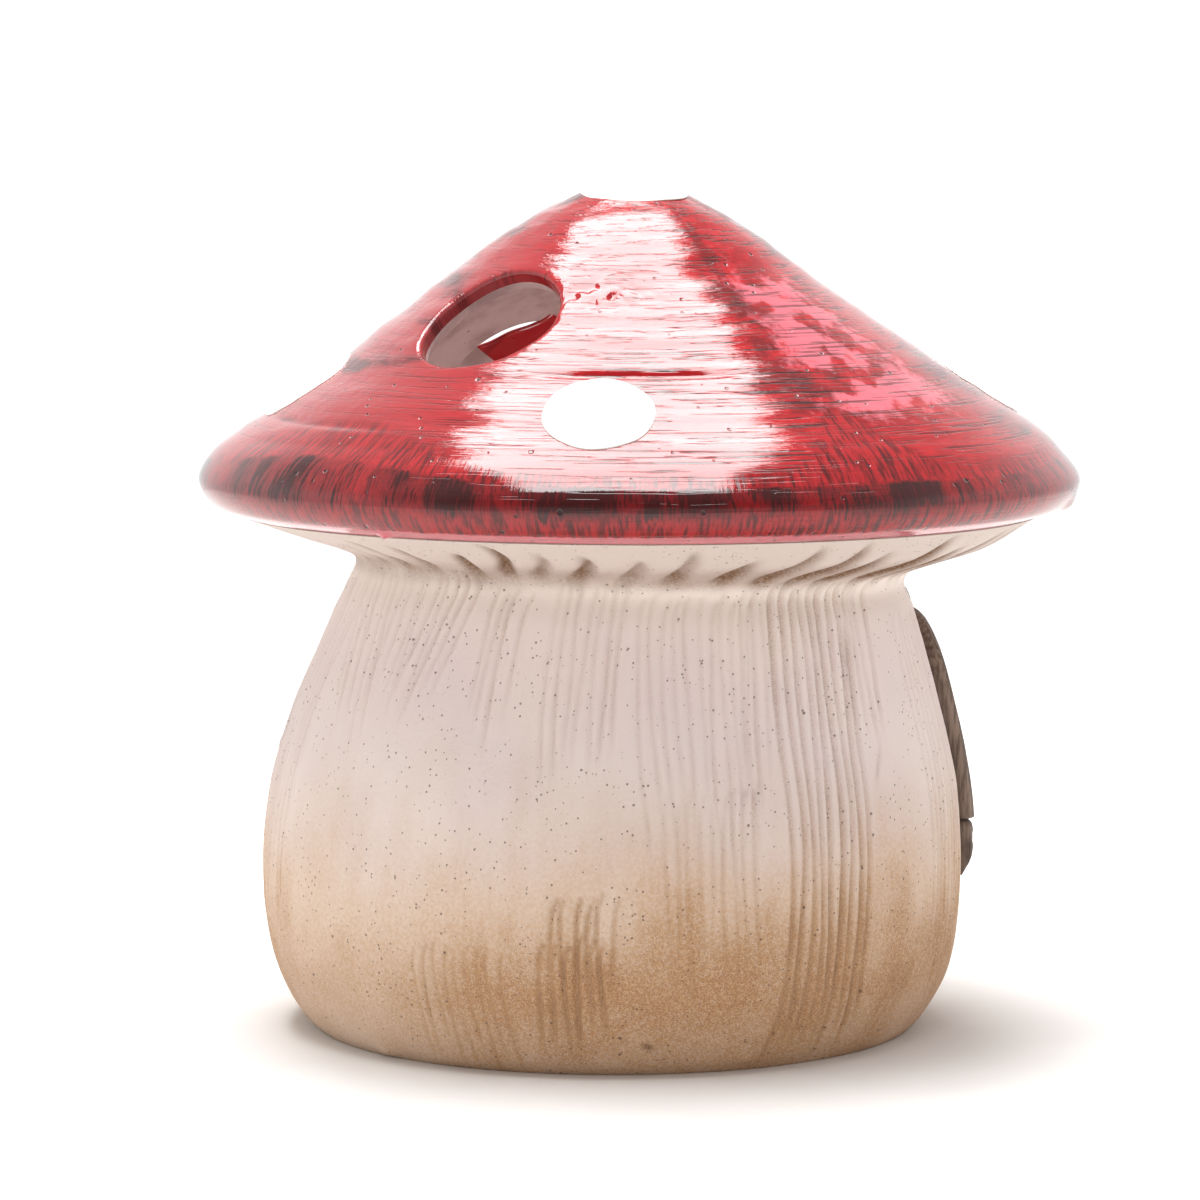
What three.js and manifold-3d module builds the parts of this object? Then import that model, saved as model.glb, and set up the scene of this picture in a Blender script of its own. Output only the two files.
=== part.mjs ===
// A toadstool house ornament in fired clay: a hollow cream stem with an arched door in relief,
// and a glazed red cap with round light holes and raised white spots, stuck on the gill skirt.
// Millimetres, +Z up. The origin lies on the cap's axis, level with the foot.
// Azimuths are measured from the front, -Y, towards the right, +X.
import * as THREE from 'three';
import { mergeVertices } from 'three/addons/utils/BufferGeometryUtils.js';
import Module from 'manifold-3d';

const wasm = await Module();
wasm.setup();

// Fits
const jointGap = 0.3; // slip-filled gap between pieces that are stuck together

// Stem: radius and height of each station, from the foot up to the neck
const footRadius = 54.5;
const footWidth = 6;
const heelRadius = 61;
const heelHeight = 10;
const bellyRadius = 63.8;
const bellyHeight = 30;
const flankRadius = 62.4;
const flankHeight = 45;
const shoulderRadius = 58.3;
const shoulderHeight = 60;
const neckRadius = 49.8;
const neckHeight = 83;
const stemWall = 5;
const stemLean = -4.7; // the foot and belly stand this far off the cap's axis
const shoulderLean = -4;
const neckLean = -1.7;
const creaseDrop = 2; // the crease at the neck sinks this much on the right and rises as much on the left
const creaseReach = 12; // how far down the stem that tilt fades out

// Gill skirt, the seat on top of it and the lip that centres the cap
const gillEdgeRadius = 73;
const gillRise = 10.6;
const gillEdgeThickness = 1;
const seatWidth = 7;
const throatRise = 3.5; // from the crease outside up to the throat's edge inside
const lipWall = 4;
const lipHeight = 3;
const lipClearance = 0.4;

// Cap: rises are above the widest line of the rim
const rimOverhang = 6.9;
const rimRise = 6.1;
const rollInset = 7.7; // from the widest line in to where the cone turns over
const rollRise = 8.8;
const flareRadius = 54.6;
const flareRise = 20.8;
const coneRadius = 34.1;
const coneRise = 35.5;
const browRadius = 19.1;
const browRise = 46.3;
const tipRadius = 9.4;
const tipRise = 51.4;
const tipLean = -1.5; // the upper cone stands this far off the cap's axis
const capWall = 4.5;

// Light holes through the cap
const holeDiameter = 26;
const frontHoleAzimuth = -38;
const frontHoleRadius = 41.5;
const backHoleAzimuth = 206;
const backHoleRadius = 52.5;

// White spots
const spotDiameter = 19.5;
const spotEdge = 0.5;
const spotCrown = 0.7;
const frontSpotAzimuth = -7;
const frontSpotRadius = 63;
const rightSpotAzimuth = 92;
const leftSpotAzimuth = -83;
const backSpotAzimuth = 176;
const sideSpotRadius = 60;
const apexSpotHeight = 2.5;

// Door
const doorAzimuth = 107;
const doorWidth = 32;
const doorBelowNeck = 8.6; // from the neck down to the top of the arch
const frameWidth = 5.5;
const frameProud = 3.2;
const frameEdgeProud = 1.9;
const panelProud = 1.6;
const plankCount = 4;
const plankGroove = 1;
const plankGrooveDepth = 0.7;
const stepBottom = 26;
const stepHeight = 10;
const stepOverhang = 0.6;
const stepProud = 3;
const stepEdgeProud = 0.9;
const stepRoundHeight = 4.5; // how far up its foot is rounded
const keystoneHeight = 4;
const keystoneFootWidth = 5;
const keystoneHeadWidth = 7;
const keystoneProud = 2.3;
const keystoneHeadProud = 1.6;
const strapShort = 3.4; // the straps end this far from the leaf's far edge
const strapTaper = 7;
const strapHeight = 3.2;
const strapPointHeight = 0.8;
const strapProud = 0.9;
const strapInset = 4.5; // from each end of the leaf's straight side to the middle of a strap
const knobDiameter = 5;
const knobNeckDiameter = 3;
const knobNeckLength = 0.9;
const knobRimRise = 0.9; // from the top of the neck up to the widest line of the head
const knobHeadHeight = 2.2;
const knobInset = 4;

// Facets
const sides = 64;
const stemSteps = 12;
const stemInnerSteps = 6;
const capStepsPerSpan = 3;
const capInnerSteps = 6;
const holeSides = 40;
const spotSides = 20;
const spotRings = 3;
const domeSteps = 5;
const knobSides = 16;

// Sizes that follow from the ones above
const gillEdgeHeight = neckHeight + gillRise;
const seatInnerRadius = gillEdgeRadius - seatWidth;
const lipOuterRadius = seatInnerRadius - lipClearance;
const lipInnerRadius = lipOuterRadius - lipWall;
const rimRadius = gillEdgeRadius + rimOverhang;
const rimHeight = gillEdgeHeight + rimRise;
const tipHeight = rimHeight + tipRise;
const capSeatHeight = gillEdgeHeight + jointGap;
const doorTop = neckHeight - doorBelowNeck;
const frameBottom = stepBottom + stepHeight + jointGap;
const springHeight = doorTop - doorWidth / 2; // where the jambs end and the arch starts
const panelHalfWidth = doorWidth / 2 - frameWidth - jointGap;
const fittingBack = jointGap + panelProud + jointGap; // straps and knob, off the stem's surface
const upperStrapHeight = springHeight - strapInset;
const lowerStrapHeight = frameBottom + strapInset;

const { degToRad, lerp, smoothstep } = THREE.MathUtils;

const creamSlip = { color: 0xe6d9cd, roughness: 0.8, metalness: 0 };
const redGlaze = { color: 0xa8182a, roughness: 0.15, metalness: 0 };
const whiteGlaze = { color: 0xf6f4ee, roughness: 0.2, metalness: 0 };
const woodStain = { color: 0x5f4f45, roughness: 0.7, metalness: 0 };
const ironStain = { color: 0x2f2a28, roughness: 0.6, metalness: 0 };

// A station of a profile: x holds its radius, y its sideways lean and z its height
function station(radius, lean, height) {
  return new THREE.Vector3(radius, lean, height);
}

const stemCurve = new THREE.CatmullRomCurve3([
  station(footRadius, stemLean, 0),
  station(heelRadius, stemLean, heelHeight),
  station(bellyRadius, stemLean, bellyHeight),
  station(flankRadius, stemLean, flankHeight),
  station(shoulderRadius, shoulderLean, shoulderHeight),
  station(neckRadius, neckLean, neckHeight),
]);

const capStations = [
  station(tipRadius, tipLean, tipHeight),
  station(browRadius, tipLean, rimHeight + browRise),
  station(coneRadius, tipLean, rimHeight + coneRise),
  station(flareRadius, 0, rimHeight + flareRise),
  station(rimRadius - rollInset, 0, rimHeight + rollRise),
  station(rimRadius, 0, rimHeight),
  station(gillEdgeRadius, 0, capSeatHeight),
];
const capCurve = new THREE.CatmullRomCurve3(capStations);
const capSpans = capStations.length - 1;
const rollParameter = (capSpans - 2) / capSpans; // where the cone turns over into the rim

function ringPoint(place, azimuth) {
  const x = place.y + place.x * Math.sin(azimuth);
  const y = -place.x * Math.cos(azimuth);
  return new THREE.Vector3(x, y, place.z);
}

function stemPoint(parameter, azimuth) {
  const place = stemCurve.getPoint(parameter);
  const share = smoothstep(place.z, neckHeight - creaseReach, neckHeight);
  const point = ringPoint(place, azimuth);
  point.z -= creaseDrop * share * Math.sin(azimuth);
  return point;
}

function capPoint(parameter, azimuth) {
  return ringPoint(capCurve.getPoint(parameter), azimuth);
}

// The unit normal of a surface of the stem or the cap, on its outer side
function surfaceNormal(surface, parameter, azimuth) {
  const step = 0.002;
  const before = Math.max(parameter - step, 0);
  const after = Math.min(parameter + step, 1);
  const along = surface(after, azimuth).sub(surface(before, azimuth));
  const around = surface(parameter, azimuth + step).sub(surface(parameter, azimuth - step));
  const normal = along.cross(around).normalize();
  const outward = new THREE.Vector3(Math.sin(azimuth), -Math.cos(azimuth), 0);
  const facing = surface === capPoint ? outward.setZ(1) : outward;
  return normal.dot(facing) < 0 ? normal.negate() : normal;
}

function offsetPoint(surface, parameter, azimuth, distance) {
  const normal = surfaceNormal(surface, parameter, azimuth);
  return surface(parameter, azimuth).addScaledVector(normal, distance);
}

// The parameter where a value that only grows or only falls along a curve reaches a target
function findParameter(curve, axis, target, end = 1) {
  const falling = curve.getPoint(0)[axis] > curve.getPoint(end)[axis];
  let low = 0;
  let high = end;
  for (let turn = 0; turn < 40; turn += 1) {
    const middle = (low + high) / 2;
    const below = curve.getPoint(middle)[axis] < target;
    if (below !== falling) {
      low = middle;
    } else {
      high = middle;
    }
  }
  return (low + high) / 2;
}

function ring(count, place) {
  return Array.from({ length: count }, (_, index) => place((2 * Math.PI * index) / count));
}

// A level ring of the stem or the cap
function level(radius, height, lean = 0) {
  return ring(sides, (azimuth) => ringPoint(station(radius, lean, height), azimuth));
}

// An indexed geometry with its faces turned outwards
function meshFrom(points, triangles) {
  const geometry = new THREE.BufferGeometry().setFromPoints(points);
  const volume = triangles.reduce((sum, [a, b, c]) => {
    const cross = new THREE.Vector3().crossVectors(points[b], points[c]);
    return sum + points[a].dot(cross);
  }, 0);
  const outward = volume < 0 ? triangles.map(([a, b, c]) => [a, c, b]) : triangles;
  geometry.setIndex(outward.flat());
  return geometry;
}

// Skins a stack of rings: a closed stack joins its last ring to its first,
// and an open one ends in a point at the middle of its first and last rings
function skin(rings, closed) {
  const count = rings[0].length;
  const points = rings.flat();
  const triangles = [];
  const spans = closed ? rings.length : rings.length - 1;
  for (let tier = 0; tier < spans; tier += 1) {
    const lower = tier * count;
    const upper = ((tier + 1) % rings.length) * count;
    for (let index = 0; index < count; index += 1) {
      const next = (index + 1) % count;
      triangles.push([lower + index, lower + next, upper + next]);
      triangles.push([lower + index, upper + next, upper + index]);
    }
  }
  if (!closed) {
    const last = (rings.length - 1) * count;
    const poles = [rings[0], rings[rings.length - 1]].map((edge) => {
      const middle = new THREE.Vector3();
      edge.forEach((point) => middle.addScaledVector(point, 1 / count));
      return points.push(middle) - 1;
    });
    for (let index = 0; index < count; index += 1) {
      const next = (index + 1) % count;
      triangles.push([poles[0], next, index]);
      triangles.push([poles[1], last + index, last + next]);
    }
  }
  return meshFrom(points, triangles);
}

// A closed slab with a back and a front grid: place(column, row, front) gives each point
function slab(columns, rows, place) {
  const points = [];
  const triangles = [];
  const at = (column, row, front) => (column * rows + row) * 2 + front;
  for (let column = 0; column < columns; column += 1) {
    for (let row = 0; row < rows; row += 1) {
      points.push(place(column, row, 0), place(column, row, 1));
    }
  }
  const quad = (a, b, c, d) => triangles.push([a, b, c], [a, c, d]);
  for (let column = 0; column < columns - 1; column += 1) {
    for (let row = 0; row < rows - 1; row += 1) {
      quad(at(column, row, 1), at(column + 1, row, 1), at(column + 1, row + 1, 1), at(column, row + 1, 1));
      quad(at(column, row, 0), at(column, row + 1, 0), at(column + 1, row + 1, 0), at(column + 1, row, 0));
    }
    const top = rows - 1;
    quad(at(column, 0, 0), at(column + 1, 0, 0), at(column + 1, 0, 1), at(column, 0, 1));
    quad(at(column, top, 1), at(column + 1, top, 1), at(column + 1, top, 0), at(column, top, 0));
  }
  for (let row = 0; row < rows - 1; row += 1) {
    const end = columns - 1;
    quad(at(0, row, 0), at(0, row, 1), at(0, row + 1, 1), at(0, row + 1, 0));
    quad(at(end, row, 1), at(end, row, 0), at(end, row + 1, 0), at(end, row + 1, 1));
  }
  return meshFrom(points, triangles);
}

function solidFrom(geometry) {
  const plain = geometry.clone();
  plain.deleteAttribute('normal');
  plain.deleteAttribute('uv');
  const merged = mergeVertices(plain);
  return new wasm.Manifold(new wasm.Mesh({
    numProp: 3,
    vertProperties: new Float32Array(merged.attributes.position.array),
    triVerts: new Uint32Array(merged.index.array),
  }));
}

function geometryFrom(solid) {
  const mesh = solid.getMesh();
  const geometry = new THREE.BufferGeometry();
  geometry.setAttribute('position', new THREE.BufferAttribute(mesh.vertProperties, 3));
  geometry.setIndex(new THREE.BufferAttribute(mesh.triVerts, 1));
  return geometry;
}

function piece(name, geometry, finish) {
  geometry.computeVertexNormals();
  const mesh = new THREE.Mesh(geometry, new THREE.MeshStandardMaterial(finish));
  mesh.name = name;
  return mesh;
}

// Turns a piece modelled along +Z so that it stands on a surface
function standOn(mesh, point, normal) {
  mesh.position.copy(point);
  mesh.quaternion.setFromUnitVectors(new THREE.Vector3(0, 0, 1), normal);
  return mesh;
}

function stemGeometry() {
  const outside = Array.from({ length: stemSteps + 1 }, (_, index) => (
    ring(sides, (azimuth) => stemPoint(index / stemSteps, azimuth))
  ));
  const inside = Array.from({ length: stemInnerSteps }, (_, index) => (
    ring(sides, (azimuth) => offsetPoint(stemPoint, (index + 1) / stemInnerSteps, azimuth, -stemWall))
  ));
  const footInside = level(footRadius - footWidth, 0, stemLean);
  const skirt = [
    level(gillEdgeRadius, gillEdgeHeight - gillEdgeThickness),
    level(gillEdgeRadius, gillEdgeHeight),
    level(lipOuterRadius, gillEdgeHeight),
    level(lipOuterRadius, gillEdgeHeight + lipHeight),
    level(lipInnerRadius, gillEdgeHeight + lipHeight),
    level(lipInnerRadius, gillEdgeHeight),
    level(neckRadius - stemWall, neckHeight + throatRise, neckLean),
  ];
  return skin([...outside, ...skirt, ...inside.reverse(), footInside], true);
}

function capGeometry() {
  const outerSteps = capSpans * capStepsPerSpan;
  const outside = Array.from({ length: outerSteps + 1 }, (_, index) => (
    ring(sides, (azimuth) => capPoint(index / outerSteps, azimuth))
  ));
  const inside = Array.from({ length: capInnerSteps + 1 }, (_, index) => {
    const parameter = (rollParameter * index) / capInnerSteps;
    return ring(sides, (azimuth) => offsetPoint(capPoint, parameter, azimuth, -capWall));
  });
  const innerSeat = level(seatInnerRadius, capSeatHeight);
  const innerRim = level(rimRadius - capWall, rimHeight);
  const shell = skin([...outside, innerSeat, innerRim, ...inside.reverse()], false);
  const cutters = [
    holeCutter(frontHoleRadius, frontHoleAzimuth),
    holeCutter(backHoleRadius, backHoleAzimuth),
  ];
  return geometryFrom(cutters.reduce((solid, cutter) => solid.subtract(cutter), solidFrom(shell)));
}

// A round bar standing square to the cap, long enough to pass through its wall
function holeCutter(radius, azimuthDegrees) {
  const azimuth = degToRad(azimuthDegrees);
  const parameter = findParameter(capCurve, 'x', radius, rollParameter);
  const bar = new THREE.CylinderGeometry(holeDiameter / 2, holeDiameter / 2, capWall * 4, holeSides);
  bar.rotateX(Math.PI / 2);
  const holder = standOn(new THREE.Object3D(), capPoint(parameter, azimuth),
    surfaceNormal(capPoint, parameter, azimuth));
  holder.updateMatrix();
  bar.applyMatrix4(holder.matrix);
  return solidFrom(bar);
}

// A low domed disc that follows the curve of the cap
function spotGeometry(radius, azimuthDegrees) {
  const middle = findParameter(capCurve, 'x', radius, rollParameter);
  const length = capCurve.getLength();
  const start = lengthTo(middle);
  const place = (reach, angle, rise) => {
    const down = start + reach * Math.sin(angle);
    const parameter = capCurve.getUtoTmapping(down / length);
    const local = capCurve.getPoint(parameter).x;
    const azimuth = degToRad(azimuthDegrees) + (reach * Math.cos(angle)) / local;
    return offsetPoint(capPoint, parameter, azimuth, rise);
  };
  const reach = spotDiameter / 2;
  const shares = Array.from({ length: spotRings }, (_, index) => (index + 1) / spotRings);
  const back = shares.map((share) => ring(spotSides, (angle) => place(reach * share, angle, jointGap)));
  const front = shares.map((share) => ring(spotSides, (angle) => (
    place(reach * share, angle, jointGap + spotEdge + spotCrown * (1 - share ** 2))
  )));
  return skin([...back, ...front.reverse()], false);
}

// The length of the cap's profile from its tip to a parameter
function lengthTo(parameter) {
  const steps = 200;
  let total = 0;
  for (let step = 0; step < steps; step += 1) {
    const from = capCurve.getPoint((parameter * step) / steps);
    total += from.distanceTo(capCurve.getPoint((parameter * (step + 1)) / steps));
  }
  return total;
}

// A dome as wide as the flat tip of the cap that it sits on
function apexSpotGeometry() {
  const profile = [new THREE.Vector2(0, 0), new THREE.Vector2(tipRadius, 0)];
  for (let step = 0; step < domeSteps; step += 1) {
    const angle = (Math.PI / 2) * (step / domeSteps);
    const rise = lerp(spotEdge, apexSpotHeight, Math.sin(angle));
    profile.push(new THREE.Vector2(tipRadius * Math.cos(angle), rise));
  }
  profile.push(new THREE.Vector2(0, apexSpotHeight));
  return new THREE.LatheGeometry(profile, spotSides).rotateX(Math.PI / 2);
}

// A point on the door: across is towards the back of the house, proud is off the stem's surface
function doorPoint(across, height, proud) {
  const parameter = findParameter(stemCurve, 'z', height);
  const azimuth = degToRad(doorAzimuth) + across / stemCurve.getPoint(parameter).x;
  return offsetPoint(stemPoint, parameter, azimuth, proud);
}

// The frame's centre line, up one jamb, over the arch and down the other
function framePath() {
  const middle = doorWidth / 2 - frameWidth / 2;
  const jambSteps = 5;
  const archSteps = 14;
  const path = [];
  for (let step = 0; step < jambSteps; step += 1) {
    const height = lerp(frameBottom, springHeight, step / jambSteps);
    path.push({ across: -middle, height, side: -1, up: 0 });
  }
  for (let step = 0; step <= archSteps; step += 1) {
    const angle = Math.PI * (1 - step / archSteps);
    const side = Math.cos(angle);
    const up = Math.sin(angle);
    path.push({ across: middle * side, height: springHeight + middle * up, side, up });
  }
  for (let step = jambSteps - 1; step >= 0; step -= 1) {
    const height = lerp(frameBottom, springHeight, step / jambSteps);
    path.push({ across: middle, height, side: 1, up: 0 });
  }
  return path;
}

function doorFrameGeometry() {
  const path = framePath();
  const rows = 5;
  return slab(path.length, rows, (column, row, front) => {
    const { across, height, side, up } = path[column];
    const share = (2 * row) / (rows - 1) - 1;
    const out = (share * frameWidth) / 2;
    const crown = frameEdgeProud + (frameProud - frameEdgeProud) * (1 - share ** 2);
    return doorPoint(across + side * out, height + up * out, jointGap + front * crown);
  });
}

function doorPanelGeometry() {
  const plankWidth = (2 * panelHalfWidth) / plankCount;
  const columns = [];
  for (let plank = 0; plank < plankCount; plank += 1) {
    const left = -panelHalfWidth + plank * plankWidth;
    columns.push({ across: left, sunk: plank === 0 ? 0 : plankGrooveDepth });
    columns.push({ across: left + plankGroove / 2, sunk: 0 });
    columns.push({ across: left + plankWidth - plankGroove / 2, sunk: 0 });
  }
  columns.push({ across: panelHalfWidth, sunk: 0 });
  const rows = 8;
  return slab(columns.length, rows, (column, row, front) => {
    const { across, sunk } = columns[column];
    const top = springHeight + Math.sqrt(Math.max(panelHalfWidth ** 2 - across ** 2, 0));
    const height = lerp(frameBottom, top, row / (rows - 1));
    return doorPoint(across, height, jointGap + front * (panelProud - sunk));
  });
}

function doorstepGeometry() {
  const columns = 9;
  const rows = 7;
  const halfWidth = doorWidth / 2 + stepOverhang;
  return slab(columns, rows, (column, row, front) => {
    const across = lerp(-halfWidth, halfWidth, column / (columns - 1));
    const rise = (stepHeight * row) / (rows - 1);
    const bulge = Math.sin((Math.PI / 2) * Math.min(rise / stepRoundHeight, 1));
    const proud = lerp(stepEdgeProud, stepProud, bulge);
    return doorPoint(across, stepBottom + rise, jointGap + front * proud);
  });
}

function keystoneGeometry() {
  const columns = 5;
  const rows = 3;
  const bottom = doorTop + jointGap;
  return slab(columns, rows, (column, row, front) => {
    const share = row / (rows - 1);
    const width = lerp(keystoneFootWidth, keystoneHeadWidth, share);
    const across = width * (column / (columns - 1) - 0.5);
    const proud = lerp(keystoneProud, keystoneHeadProud, share);
    return doorPoint(across, bottom + keystoneHeight * share, jointGap + front * proud);
  });
}

// A flat strap that starts at the hinge side and narrows towards its end
function strapGeometry(height) {
  const columns = 9;
  const rows = 3;
  const end = panelHalfWidth - strapShort;
  return slab(columns, rows, (column, row, front) => {
    const across = lerp(-panelHalfWidth, end, column / (columns - 1));
    const tall = lerp(strapHeight, strapPointHeight, smoothstep(across, end - strapTaper, end));
    const rise = tall * (row / (rows - 1) - 0.5);
    return doorPoint(across, height + rise, fittingBack + front * strapProud);
  });
}

// A round head on a short neck
function knobGeometry() {
  const profile = [
    new THREE.Vector2(0, 0),
    new THREE.Vector2(knobNeckDiameter / 2, 0),
    new THREE.Vector2(knobNeckDiameter / 2, knobNeckLength),
  ];
  for (let step = 0; step < domeSteps; step += 1) {
    const angle = (Math.PI / 2) * (step / domeSteps);
    const rise = lerp(knobRimRise, knobHeadHeight, Math.sin(angle));
    profile.push(new THREE.Vector2((knobDiameter / 2) * Math.cos(angle), knobNeckLength + rise));
  }
  profile.push(new THREE.Vector2(0, knobNeckLength + knobHeadHeight));
  return new THREE.LatheGeometry(profile, knobSides).rotateX(Math.PI / 2);
}

const stemGroup = new THREE.Group();
stemGroup.add(piece('stem', stemGeometry(), creamSlip));

const capGroup = new THREE.Group();
capGroup.add(piece('cap', capGeometry(), redGlaze));
capGroup.add(piece('front_spot', spotGeometry(frontSpotRadius, frontSpotAzimuth), whiteGlaze));
capGroup.add(piece('right_spot', spotGeometry(sideSpotRadius, rightSpotAzimuth), whiteGlaze));
capGroup.add(piece('left_spot', spotGeometry(sideSpotRadius, leftSpotAzimuth), whiteGlaze));
capGroup.add(piece('back_spot', spotGeometry(sideSpotRadius, backSpotAzimuth), whiteGlaze));
const apexSpot = piece('apex_spot', apexSpotGeometry(), whiteGlaze);
apexSpot.position.set(tipLean, 0, tipHeight + jointGap);
capGroup.add(apexSpot);

const doorGroup = new THREE.Group();
doorGroup.add(piece('door_panel', doorPanelGeometry(), woodStain));
doorGroup.add(piece('door_frame', doorFrameGeometry(), woodStain));
doorGroup.add(piece('doorstep', doorstepGeometry(), woodStain));
doorGroup.add(piece('keystone', keystoneGeometry(), woodStain));
doorGroup.add(piece('hinge_strap_upper', strapGeometry(upperStrapHeight), ironStain));
doorGroup.add(piece('hinge_strap_lower', strapGeometry(lowerStrapHeight), ironStain));
const knobHeight = (upperStrapHeight + lowerStrapHeight) / 2;
const knobAcross = panelHalfWidth - knobInset;
const knobFoot = doorPoint(knobAcross, knobHeight, fittingBack);
const knobAxis = doorPoint(knobAcross, knobHeight, fittingBack + 1).sub(knobFoot);
doorGroup.add(standOn(piece('door_knob', knobGeometry(), ironStain), knobFoot, knobAxis));

const toadstool = new THREE.Group();
toadstool.add(stemGroup, capGroup, doorGroup);

export default toadstool;
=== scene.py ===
import math
from itertools import product

import bmesh
import bpy
import numpy as np
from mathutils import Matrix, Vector


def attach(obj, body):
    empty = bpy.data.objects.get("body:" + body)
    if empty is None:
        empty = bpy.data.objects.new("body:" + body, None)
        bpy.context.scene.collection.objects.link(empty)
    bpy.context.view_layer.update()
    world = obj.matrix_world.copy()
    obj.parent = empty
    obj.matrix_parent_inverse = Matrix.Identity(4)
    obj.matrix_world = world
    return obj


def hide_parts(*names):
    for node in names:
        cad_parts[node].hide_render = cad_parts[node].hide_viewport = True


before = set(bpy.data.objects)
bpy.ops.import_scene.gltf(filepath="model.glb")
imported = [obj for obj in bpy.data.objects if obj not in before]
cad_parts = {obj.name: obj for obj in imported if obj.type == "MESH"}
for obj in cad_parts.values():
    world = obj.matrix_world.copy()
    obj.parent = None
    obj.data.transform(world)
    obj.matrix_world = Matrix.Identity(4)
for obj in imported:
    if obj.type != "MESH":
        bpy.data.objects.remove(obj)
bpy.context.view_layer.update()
scene = bpy.context.scene
mm = 0.001
print("frame loaded:", len(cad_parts), "nodes")


# shared tools

def softStep(low, high, value):
    t = np.clip((value - low) / (high - low), 0, 1)
    return t * t * (3 - 2 * t)


def wrapped(angle):
    return (angle + np.pi) % (2 * np.pi) - np.pi


def hump(distance, width):
    return np.exp(-(distance / width) ** 2)


def about(turn, degrees, width):
    # a soft peak round one azimuth
    return hump(wrapped(turn - math.radians(degrees)), math.radians(width))


def fullTurn(count):
    return np.arange(count) * 2 * np.pi / count


def ringSpace(turn, reach, level):
    return np.stack([np.cos(turn) * reach, np.sin(turn) * reach, level], -1)


cloudCells, layerShift = 24, 7.3    # cells along a side of the block of noise, and what sets its layers apart


def cloud(points, size, seed, layers=3):
    # soft noise from 0 to 1, with lumps about size mm wide
    cells = np.random.RandomState(seed).rand(cloudCells, cloudCells, cloudCells)
    total, weight = 0, 0
    for layer in range(layers):
        p = points / size * 2 ** layer + layerShift * layer
        cell = np.floor(p).astype(int)
        f = p - cell
        f = f * f * (3 - 2 * f)
        value = 0
        for corner in product((0, 1), repeat=3):
            share = np.prod(np.where(corner, f, 1 - f), axis=-1)
            i, j, k = np.moveaxis((cell + corner) % cloudCells, -1, 0)
            value = value + share * cells[i, j, k]
        total = total + value / 2 ** layer
        weight += 1 / 2 ** layer
    return total / weight


def makeLine(stations, step=0.2, perRun=40):
    # a smooth profile through (radius, height, lean, tilt) stations, in even steps
    p = np.array(stations, float)
    p = np.vstack([2 * p[0] - p[1], p, 2 * p[-1] - p[-2]])
    runs = []
    for k in range(1, len(p) - 2):
        a, b, c, d = p[k - 1:k + 3]
        ta, tb, tc = (np.linalg.norm(v[:2] - u[:2]) ** 0.5 for u, v in ((a, b), (b, c), (c, d)))
        m1 = c - b + tb * ((b - a) / ta - (c - a) / (ta + tb))
        m2 = c - b + tb * ((d - c) / tc - (d - b) / (tb + tc))
        t = np.linspace(0, 1, perRun, endpoint=False)[:, None]
        runs.append((2 * (b - c) + m1 + m2) * t ** 3 + (-3 * (b - c) - 2 * m1 - m2) * t ** 2 + m1 * t + b)
    run = np.vstack(runs + [p[-2:-1]])
    arc = np.append(0, np.cumsum(np.linalg.norm(np.diff(run[:, :2], axis=0), axis=1)))
    at = np.linspace(0, arc[-1], int(arc[-1] / step) + 1)
    r, z, lean, tilt = (np.interp(at, arc, column) for column in run.T)
    dr, dz = np.gradient(r), np.gradient(z)
    size = np.hypot(dr, dz)
    return {"at": at, "r": r, "z": z, "lean": lean, "tilt": tilt, "nr": -dz / size, "nz": dr / size}


def readLine(line, at, *keys):
    # what a profile says at distances along it
    values = [np.interp(at, line["at"], line[key]) for key in keys]
    return values if len(keys) > 1 else values[0]


def surfacePoint(line, at, az, rise=0):
    # a point rise mm off a turned surface; az is measured from the front towards the right
    r, z, lean, tilt, nr, nz = readLine(line, at, "r", "z", "lean", "tilt", "nr", "nz")
    reach = r + rise * nr
    return np.stack([lean + reach * np.sin(az), -reach * np.cos(az), z + tilt * np.sin(az) + rise * nz], -1)


def levelRing(radius, height, lean, az):
    return np.stack([lean + radius * np.sin(az), -radius * np.cos(az), height + 0 * az], -1)


def ringGrid(ats, cols):
    # rows down a profile and columns round it, as flat lists of places
    at, az = np.meshgrid(ats, fullTurn(cols), indexing="ij")
    return at.ravel().copy(), az.ravel().copy()


def gridQuads(rows, cols, closed=True):
    # a closed grid goes all the way round
    i, j = np.meshgrid(np.arange(rows - 1), np.arange(cols if closed else cols - 1), indexing="ij")
    k = (j + 1) % cols
    return np.stack([i * cols + j, (i + 1) * cols + j, (i + 1) * cols + k, i * cols + k], -1).reshape(-1, 4)


def addVerts(bm, points):
    return [bm.verts.new(p) for p in (np.asarray(points) * mm).tolist()]


def addFaces(bm, verts, quads, slot=0):
    for quad in quads.tolist():
        bm.faces.new([verts[v] for v in quad]).material_index = slot


def addRing(bm, loop, points, slot=0, outward=True):
    # the next ring of a tube: outward carries on down an outside, the other way down a hole
    verts = addVerts(bm, points)
    slots = np.broadcast_to(slot, len(loop))
    for k in range(len(loop)):
        corners = (loop[k - 1], verts[k - 1], verts[k], loop[k])
        bm.faces.new(corners if outward else corners[::-1]).material_index = int(slots[k])
    return verts


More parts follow.
